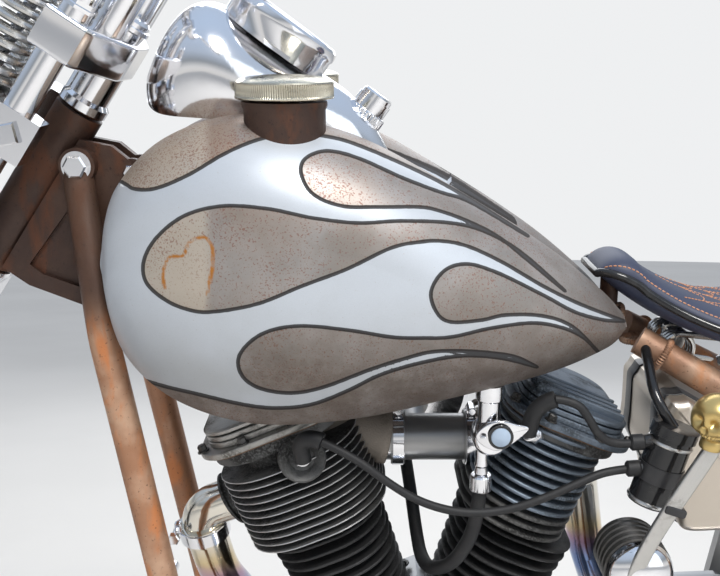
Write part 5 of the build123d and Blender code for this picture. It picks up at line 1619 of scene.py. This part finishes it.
@dataclass
class JockeyShift:
    """Flat hand lever on its domed drum, with the brass skull knob."""

    drum: tuple[float, float] = (604.0, 548.0)
    knob: Point = (551.0, 151.0, 706.0)
    knob_radius: float = 22.5
    face_turn: float = math.radians(50)
    dents: tuple[tuple[float, float, float, float], ...] = (  # across, up, width, height
        (0.36, 0.06, 0.27, -0.32), (0.55, -0.22, 0.22, 0.05), (-0.36, 0.06, 0.27, -0.32),
        (-0.55, -0.22, 0.22, 0.05), (0.0, -0.24, 0.14, -0.16))

    def lever(self) -> None:
        """Arm, ribbed drum, chrome dome and the flat lever with eased edges."""
        x, z = self.drum
        form = Form().plate(np.array([(578, 384), (604, 384), (622, 548), (588, 548)], float), 92, 8, 1.6)
        ribs = [(r, h + 9.4 * k) for k in range(5) for r, h in ((32, 2), (32, 8), (30.4, 9), (30.4, 10.6))]
        form.lathe([(30, 0), *ribs, (31, 50)], (x, 84, z), LEFT, 72)
        form.build("shift_drum", BLACK_STEEL, replaces=["shift_lever"])
        dome = [(31 * math.cos(t), 2 + 18 * math.sin(t)) for t in np.linspace(0.1, 1.53, 12)]
        Form().lathe([(31.5, 0), (31, 2), *dome], (x, 134, z), LEFT, 72).build("shift_dome", CHROME)
        bar = [(612, 540), (618, 538), (623, 545), (603, 598), (558, 682), (549, 686), (544, 678), (590, 592)]
        lever = Form().plate(smooth_line(bar, 72, True), 152, 6, 1.8)
        lever.build("shift_hand_lever", SATIN_STEEL, slot="chrome")
        a, b = rounded(20, 8, 2.5).T
        clip = np.stack([581 + a * 0.951 - b * 0.309, 618 + a * 0.309 + b * 0.951], axis=1)
        Form().plate(clip, 153.4, 8.8, 1.2).build("shift_lever_clip", BLACK)

    def skull(self) -> None:
        """Cast skull of a plain kind, looking forward and out to the left.

        The surface is a sphere whose radius drops in bell-shaped dents for the two eye sockets and
        the nose, narrows below the cheeks, and waves finely along the row of teeth.
        """
        lat, lon = np.linspace(0.02, math.pi - 0.02, 110)[:, None], turns(200)[None]
        x, y, z = np.sin(lat) * np.cos(lon), np.sin(lat) * np.sin(lon), np.cos(lat) * np.ones_like(lon)
        r = 1.0 + 0.03 * z
        for cx, cz, wide, deep in self.dents:
            cy = math.sqrt(1 - cx * cx - cz * cz)
            r = r + deep * np.exp(-((x - cx) ** 2 + (y - cy) ** 2 + (z - cz) ** 2) / wide**2)
        face = np.clip(y * 3, 0, 1)
        jaw = np.clip((-z - 0.30) / 0.4, 0, 1)
        teeth = np.exp(-((z + 0.56) / 0.10) ** 2) * (0.5 + 0.5 * np.cos(26 * np.arctan2(x, y)))
        r = r - 0.05 * teeth * face - 0.06 * np.exp(-((z + 0.56) / 0.03) ** 2) * face
        across, ahead = r * (1 - 0.30 * jaw) * x, r * (1 - 0.12 * jaw) * y
        c, s = polar(self.face_turn)
        grid = np.stack([across * c + ahead * s, ahead * c - across * s, r * z], axis=2)
        form = Form().grid(np.asarray(self.knob) + self.knob_radius * grid, wrap_v=True, caps=True)
        form.build("skull_knob", BRASS, crease=60, replaces=["shift_knob"], slot="brass")
        Form().lathe([(9, 0), (10, 1.5), (10, 8), (8, 11)], (555, 150, 678), (-0.18, 0, 0.98), 32).build(
            "knob_nut", BRASS)

    def dress(self) -> None:
        """Builds the lever and its knob."""
        self.lever()
        self.skull()


@dataclass
class OilTank:
    """Rounded oil tank with its straps and filler, and bands of the coil beside it."""

    outline: tuple[Point, ...] = (
        (404, 574), (404, 602), (430, 624), (548, 694), (566, 694), (574, 680), (574, 622), (544, 560),
        (418, 560))
    half: float = 80.0

    def shape(self, grow: float) -> Array:
        """The tank's outline, grown outward from its middle by a length."""
        a = np.array(self.outline, float)
        b = np.roll(a, -1, axis=0)
        p = smooth_line(np.stack([a, (2 * a + b) / 3, (a + 2 * b) / 3], axis=1).reshape(-1, 2), 140, True)
        out = p - p.mean(axis=0)
        return p.mean(axis=0) + out * (1 + grow / np.linalg.norm(out, axis=1, keepdims=True))

    def dress(self) -> None:
        """Builds the tank, straps, filler and the coil's bands."""
        Form().plate(self.shape(0), self.half, 2 * self.half, 9, 8).build(
            "oil_tank_shell", BARE_TIN, replaces=["oil_tank"], slot="bare_tin")
        straps = Form()
        for y in (58, -34):
            straps.plate(self.shape(1.6), y, 20, 0.8)
        straps.build("oil_tank_straps", BLACK)
        filler = [(20, 0), (20, 22), (22, 23), (22, 31), (19, 35), (8, 37), (0.5, 37)]
        Form().lathe(filler, (452, -40, 624)).build("oil_filler", DULL_CHROME)
        base, tip = np.array([592.0, 106, 606]), np.array([574.0, 106, 672])
        way = unit(tip - base)
        strap = Form().ring([(19.8, 24), (21.2, 24), (21.2, 40), (19.8, 40)], base, way, 64)
        strap.build("coil_strap", BLACK)
        bands, caps = Form(), Form()
        for h in (1.0, 60.0):
            bands.ring([(19.6, 0), (20.8, 0.6), (21.4, 2), (20.8, 3.6), (19.6, 4.2)], base + way * h, way, 64)
        bands.build("coil_bands", DULL_CHROME)
        for x, z in ((610, 667), (612, 641)):
            caps.bar((x - 9, 110, z + 1), (x + 4, 110, z), 7.6, 24, 1.5)
        caps.build("coil_tower_caps", RUBBER)


@dataclass
class FrameTrim:
    """Bolts of the neck forging, weld beads at the tube joints and the axle nuts."""

    beads: tuple[tuple[Point, Point, float], ...] = (  # middle, direction of the tube, its radius
        ((606, 0, 752), (-512, 0, -144), 17.5), ((583.6, 0, 734), (-18, 0, -592), 14.4),
        ((614, 0, 768), UP, 9.2), ((568, 41, 730), (-150, 54, -82), 14.6),
        ((568, -41, 730), (-150, -54, -82), 14.6))

    def dress(self) -> None:
        """Builds the bolts, the beads and the nuts of both axles.

        A weld bead is a thin ring whose section swells by a sine of many waves round the tube.
        """
        for side, word in SIDES.items():
            form = Form().lathes([(14, 0), (14, 2)], [(1128, side * 36, 913)], (0, side, 0), 32)
            form.lathes([(11.5, 2), (11.5, 8), (9.6, 9.6)], [(1128, side * 36, 913)], (0, side, 0), 6)
            form.lathes([(8, 0), (8, 6), (6.6, 7)], [(1080, side * 20, 905)], (0, side, 0), 6)
            form.build(f"neck_bolts_{word}", CHROME, crease=25)
        form = Form()
        a, b = turns(180)[:, None], turns(8)[None]
        size = 3.0 + 0.7 * np.sin(36 * a)
        for centre, axis, radius in self.beads:
            u, v, w = axes_of(axis)
            r, h = radius + size * np.cos(b) * 0.8, size * np.sin(b)
            round_ = np.cos(a)[..., None] * u + np.sin(a)[..., None] * v
            rows = np.asarray(centre, float) + r[..., None] * round_ + h[..., None] * w
            form.grid(rows, wrap_u=True, wrap_v=True)
        form.build("frame_welds", RUSTY_TUBE)
        for side, word in SIDES.items():
            nut = [(9.7, 0), (18.5, 0), (19.5, 1.5), (19.5, 13), (18.5, 14.5), (9.7, 14.5)]
            Form().ring(nut, (0, side * 120.3, 325), (0, side, 0), 6).build(
                f"rear_axle_nut_{word}", DULL_CHROME, crease=25)
            nut = [(9.7, 0), (16, 0), (17, 1.2), (17, 8), (16, 9.4), (9.7, 9.4)]
            Form().ring(nut, (1658, side * 97.2, 345.64), (0, side, 0), 6).build(
                f"front_axle_nut_{word}", CHROME, Body.FORK, crease=25)


# Lamps and controls


@dataclass
class Lamps:
    """Headlamp with reflector, bulb and fluted glass; tail lamp with red glass; blank plate."""

    head: Point = (1330.0, 0.0, 936.0)
    tail: Point = (-416.0, 0.0, 474.0)
    plate: Point = (-410.6, 0.0, 372.0)
    plate_tilt: float = math.radians(10)

    def headlamp(self) -> None:
        """Bowl open to the front over its reflector, with rim, bulb, glass and bracket."""
        bowl = [(0.5, -52), (22, -50), (40, -44), (56, -33), (66, -20), (71, 0), (74, 38), (77, 42), (78, 48),
                (77, 56), (74, 58.5), (70, 57), (68, 50), (62, 30), (46, 6), (24, -8), (0.5, -12)]
        form = Form().lathe(bowl, self.head, AHEAD, 128)
        strap = [(1240, 986), (1240, 996), (1290, 1008), (1338, 1016), (1338, 1006), (1290, 997)]
        form.plate(np.array(strap, float), 16, 32, 1.6)
        form.build("headlamp_bowl", CHROME, Body.FORK, replaces=["headlamp"], slot="chrome")
        hex_bolts([(1312, 0, 1013)], UP, 14, 7).build("headlamp_bolt", CHROME, Body.FORK, crease=25)
        bulb = [(6, -12), (6, 4), (9, 10), (9, 16), (5, 22), (0.3, 24)]
        Form().lathe(bulb, self.head, AHEAD, 32).build("headlamp_bulb", CLEAR_GLASS, Body.FORK)
        a, r = turns(120)[None], np.linspace(0.5, 70.5, 60)[:, None]
        x, _, z = self.head
        dome = 9 * (1 - (r / 71) ** 2) + 0 * a
        front, back = (np.stack([x + h, r * np.cos(a), z + r * np.sin(a)], axis=2)
                       for h in (52 + dome + 0.5 * np.cos(0.55 * r * np.sin(a)), 50.5 + dome))
        Form().grid(np.concatenate([front, back[::-1]]), wrap_u=True, wrap_v=True).build(
            "headlamp_glass", CLEAR_GLASS, Body.FORK, slot="lamp")

    def taillamp(self) -> None:
        """Rim, red glass with rings, and the blank plate with its screws."""
        way = (-0.99, 0, 0.09)
        rim = [(34, -6), (39.5, -6), (40.5, -3), (40.5, 1), (38, 3), (34, 2)]
        Form().ring(rim, self.tail, way, 96).build("tail_lamp_rim", CHROME)
        dome = [(34.2, 0.2)] + [(34 * math.cos(t) + (0.5 if k % 2 else 0), 1 + 15 * math.sin(t))
                                for k, t in enumerate(np.linspace(0.1, 1.56, 16))]
        Form().lathe(dome, self.tail, way, 96).build("tail_lamp_glass", RED_GLASS, slot="red_lamp")
        c, s = polar(self.plate_tilt)
        out, across = np.array([-c, 0, s]), np.array(LEFT)
        up = np.cross(out, across)
        Form().slab(rounded(176, 112, 8), self.plate, across, up, 1.6, 0.5).build("number_plate", PLATE_WHITE)
        seats = [np.asarray(self.plate) + across * a + up * 44 + out * 1.4 for a in (-60, 60)]
        hex_bolts(seats, out, 9, 4).build("plate_screws", CHROME, crease=25)

    def dress(self) -> None:
        """Builds both lamps and the plate."""
        self.headlamp()
        self.taillamp()


@dataclass
class Controls:
    """Ribbed grips and foot pegs, riser caps and the clamp of the front pipe."""

    bar_end: Point = (880.0, 392.0, 1298.0)
    bar_knee: Point = (1024.0, 300.0, 1326.0)

    def grips(self) -> None:
        """Rubber grips with raised rings and a flange at the inner end."""
        rings = [(r, h + 7 * k) for k in range(14) for r, h in ((16.6, 8), (18, 9), (18, 12), (16.6, 13))]
        profile = [(13, 0), (20, 1), (20, 4), (16.5, 6), *rings, (17, 110), (18, 113), (17, 117), (8, 118)]
        for side, word in SIDES.items():
            end, knee = (np.asarray(p) * (1, side, 1) for p in (self.bar_end, self.bar_knee))
            out = unit(end - knee)
            Form().lathe(profile, end - out * 110, out).build(f"grip_{word}", RUBBER, Body.FORK)
        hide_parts("grips")

    def pegs(self) -> None:
        """Rubber rings on the foot pegs, and their end caps."""
        form = Form()
        for side in SIDES:
            for k in range(9):
                form.ring([(14.8, 0), (16.8, 0.8), (16.8, 5), (14.8, 6)], (1040, side * (136 + 9.6 * k), 300),
                          (0, side, 0), 40)
            form.lathe([(16.4, 0), (16.4, 3), (12, 6), (0.5, 7)], (1040, side * 227.6, 300), (0, side, 0), 40)
        form.build("foot_peg_rings", RUBBER)

    def riser_caps(self) -> None:
        """Clamp caps over the bar at each riser."""
        form, cap = Form(), [(13, -16), (18.6, -16), (19.6, -14), (19.6, 14), (18.6, 16), (13, 16)]
        for y in (45, -45):
            form.ring(cap, (1056, y, 1092), LEFT, 64)
        form.build("riser_caps", CHROME, Body.FORK)

    def pipe_clamp(self) -> None:
        """T-bolt clamp on the front pipe."""
        top, foot = np.array([1031.0, -5, 530]), np.array([1028.0, -9, 512])
        way = unit(foot - top)
        form = Form().ring([(25.8, 1), (27.4, 1.6), (27.4, 16), (25.8, 17)], top, way, 72)
        form.bar(top + way * 9 + (28, -10, 0), top + way * 9 + (28, 26, 0), 4, 16, 0.8)
        form.slab(rounded(8, 14, 2.5), top + way * 2 + (24, 10, 0), AHEAD, unit(way * (0, 1, 1)), 5, 0.8)
        form.lathe([(6.6, 0), (6.6, 5), (5.2, 6)], top + way * 9 + (28, 24, 0), LEFT, 6)
        form.build("exhaust_clamp", CHROME)

    def dress(self) -> None:
        """Builds the grips, pegs, caps and the clamp."""
        self.grips()
        self.pegs()
        self.riser_caps()
        self.pipe_clamp()


# Studio


@dataclass
class Studio:
    """Pale floor, soft lights and the camera at the photograph's place."""

    eye: tuple[float, float, float] = (0.069, 0.916, 0.86483)
    pitch: float = math.radians(5.0)
    lens: float = 50.0
    floor_colours: tuple[Colour, Colour] = ((0.80, 0.79, 0.77), (0.76, 0.75, 0.73))
    sky_stops: tuple[tuple[float, Colour], ...] = (  # height of the direction, colour
        (0.0, (0.80, 0.79, 0.77)), (1.0, (0.55, 0.68, 0.88)), (0.06, (0.80, 0.80, 0.80)),
        (0.22, (0.30, 0.33, 0.36)), (0.45, (0.50, 0.58, 0.70)))

    def floor(self) -> None:
        """A pale floor disc, with a hint of mottling."""
        n = Nodes(bpy.data.materials.new("floor_paint"))
        n.finish(n.mix(n.ramp(n.noise(1.2, 4.0), 0.3, 0.7), *self.floor_colours), 0.85)
        a, r = turns(96), np.linspace(0.02, 14.0, 24)[:, None]
        mesh = bpy.data.meshes.new("floor")
        form = Form().grid(np.stack([r * np.cos(a), r * np.sin(a), np.zeros((24, 96))], axis=2), wrap_v=True)
        mesh.from_pydata(np.vstack(form.points).tolist(), [], np.vstack(form.faces).tolist())
        mesh.materials.append(n.owner)
        piece = link("floor", mesh)

    def sky(self) -> None:
        """World: soft grey light, a pale backdrop that metal sees, and white before the camera."""
        n = Nodes(bpy.data.worlds.new("studio"))
        bpy.context.scene.world = n.owner
        n.tree.nodes.clear()
        ramp = n.add("ValToRGB", 0, {0: n.add("SeparateXYZ", "Z", {0: n.add("TexCoord", "Generated")})})
        stops = ramp.node.color_ramp.elements
        for k, (at, colour) in enumerate(self.sky_stops):
            stop = stops[k] if k < 2 else stops.new(at)
            stop.position, stop.color = at, (*colour, 1)
        soft, pale, white = (n.add("Background", 0, {"Color": colour, "Strength": strength})
                             for colour, strength in (((0.72, 0.75, 0.80), 0.75), (ramp, 1.0),
                                                      ((0.86, 0.87, 0.88), 1.0)))
        rays = n.add("LightPath", 0).node.outputs
        seen = n.math("MAXIMUM", rays["Is Glossy Ray"], rays["Is Transmission Ray"])
        pick = n.add("MixShader", 0, {0: seen, 1: soft, 2: pale})
        last = n.add("MixShader", 0, {0: rays["Is Camera Ray"], 1: pick, 2: white})
        n.put(n.tree.nodes.new("ShaderNodeOutputWorld").inputs["Surface"], last)

    def light(self, name: str, place: Point, aim: Point, size: float, power: float, colour: Colour) -> None:
        """One area light at a place, turned to its aim."""
        lamp = bpy.data.lights.new(name, "AREA")
        lamp.size, lamp.energy, lamp.color = size, power, colour
        piece = link(name, lamp)
        piece.location = place
        ahead = Vector(tuple(unit(np.subtract(aim, place))))
        piece.rotation_euler = ahead.to_track_quat("-Z", "Y").to_euler()

    def dress(self) -> None:
        """Builds the floor, sky, lights and camera."""
        self.floor()
        self.sky()
        self.light("key", (-0.5, 1.9, 3.0), (0.1, 0, 0.7), 0.9, 85, (1.0, 0.97, 0.93))
        self.light("fill", (-2.2, 2.2, 1.6), (-0.2, 0, 0.6), 2.4, 18, (0.9, 0.95, 1.0))
        self.light("back", (0.0, -2.6, 2.6), (0, 0, 0.6), 2.4, 40, (1.0, 1.0, 1.0))
        cam = bpy.data.cameras.new("camera")
        cam.lens, cam.sensor_width, cam.clip_start = self.lens, 36.0, 0.05
        piece = link("camera", cam)
        piece.location = self.eye
        piece.rotation_euler = (math.pi / 2 - self.pitch, 0.0, math.pi)
        bpy.context.scene.camera = piece
        bpy.context.scene.view_settings.view_transform = "Standard"


# Finishes of the CAD nodes that stay in view; the other ones are case alloy or replaced
NODE_FINISH: dict[str, Finish] = {name: finish for finish, names in (
    (CHROME, "pushrod_tubes air_cleaner primary_cover dash foot_controls tail_lamp handlebar fork_rear_legs "
             "fork_front_legs fork_rockers spring_bridge"),
    (OILY_STEEL, "rear_sprocket rear_axle front_axle side_stand"),
    (RUSTY_TUBE, "frame_rails frame_stays frame_crossmembers stand_bracket"),
    (LIT_AND_SHADED_TUBE, "frame_downtubes"), (RUST_IN_SHADE, "frame_neck"), (HOT_PIPE, "exhaust_pipes"),
    (GLOSS_BLACK, "ignition_coil"), (RUBBER, "plug_boots"), (BARE_TIN, "rear_fender"),
) for name in names.split()}


def dress_nodes(nodes: dict[str, Piece]) -> None:
    """Gives every CAD node its finish."""
    for name, piece in nodes.items():
        piece.data.materials.clear()
        piece.data.materials.append(NODE_FINISH.get(name, CASE_ALLOY).material())


def main() -> None:
    """Builds the machine's looks in order."""
    logging.basicConfig(level=logging.INFO, format="%(name)s %(message)s")
    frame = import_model()
    dress_nodes(frame["nodes"])
    parts = (FuelTanks(), VTwin(), Cords(), Dash(), Saddle(), Springer(), FRONT_WHEEL, REAR_WHEEL,
             RollerChain(), Petcock(), JockeyShift(), OilTank(), FrameTrim(), Lamps(), Controls(), Studio())
    for part in parts:
        part.dress()


if __name__ == "__main__":
    main()
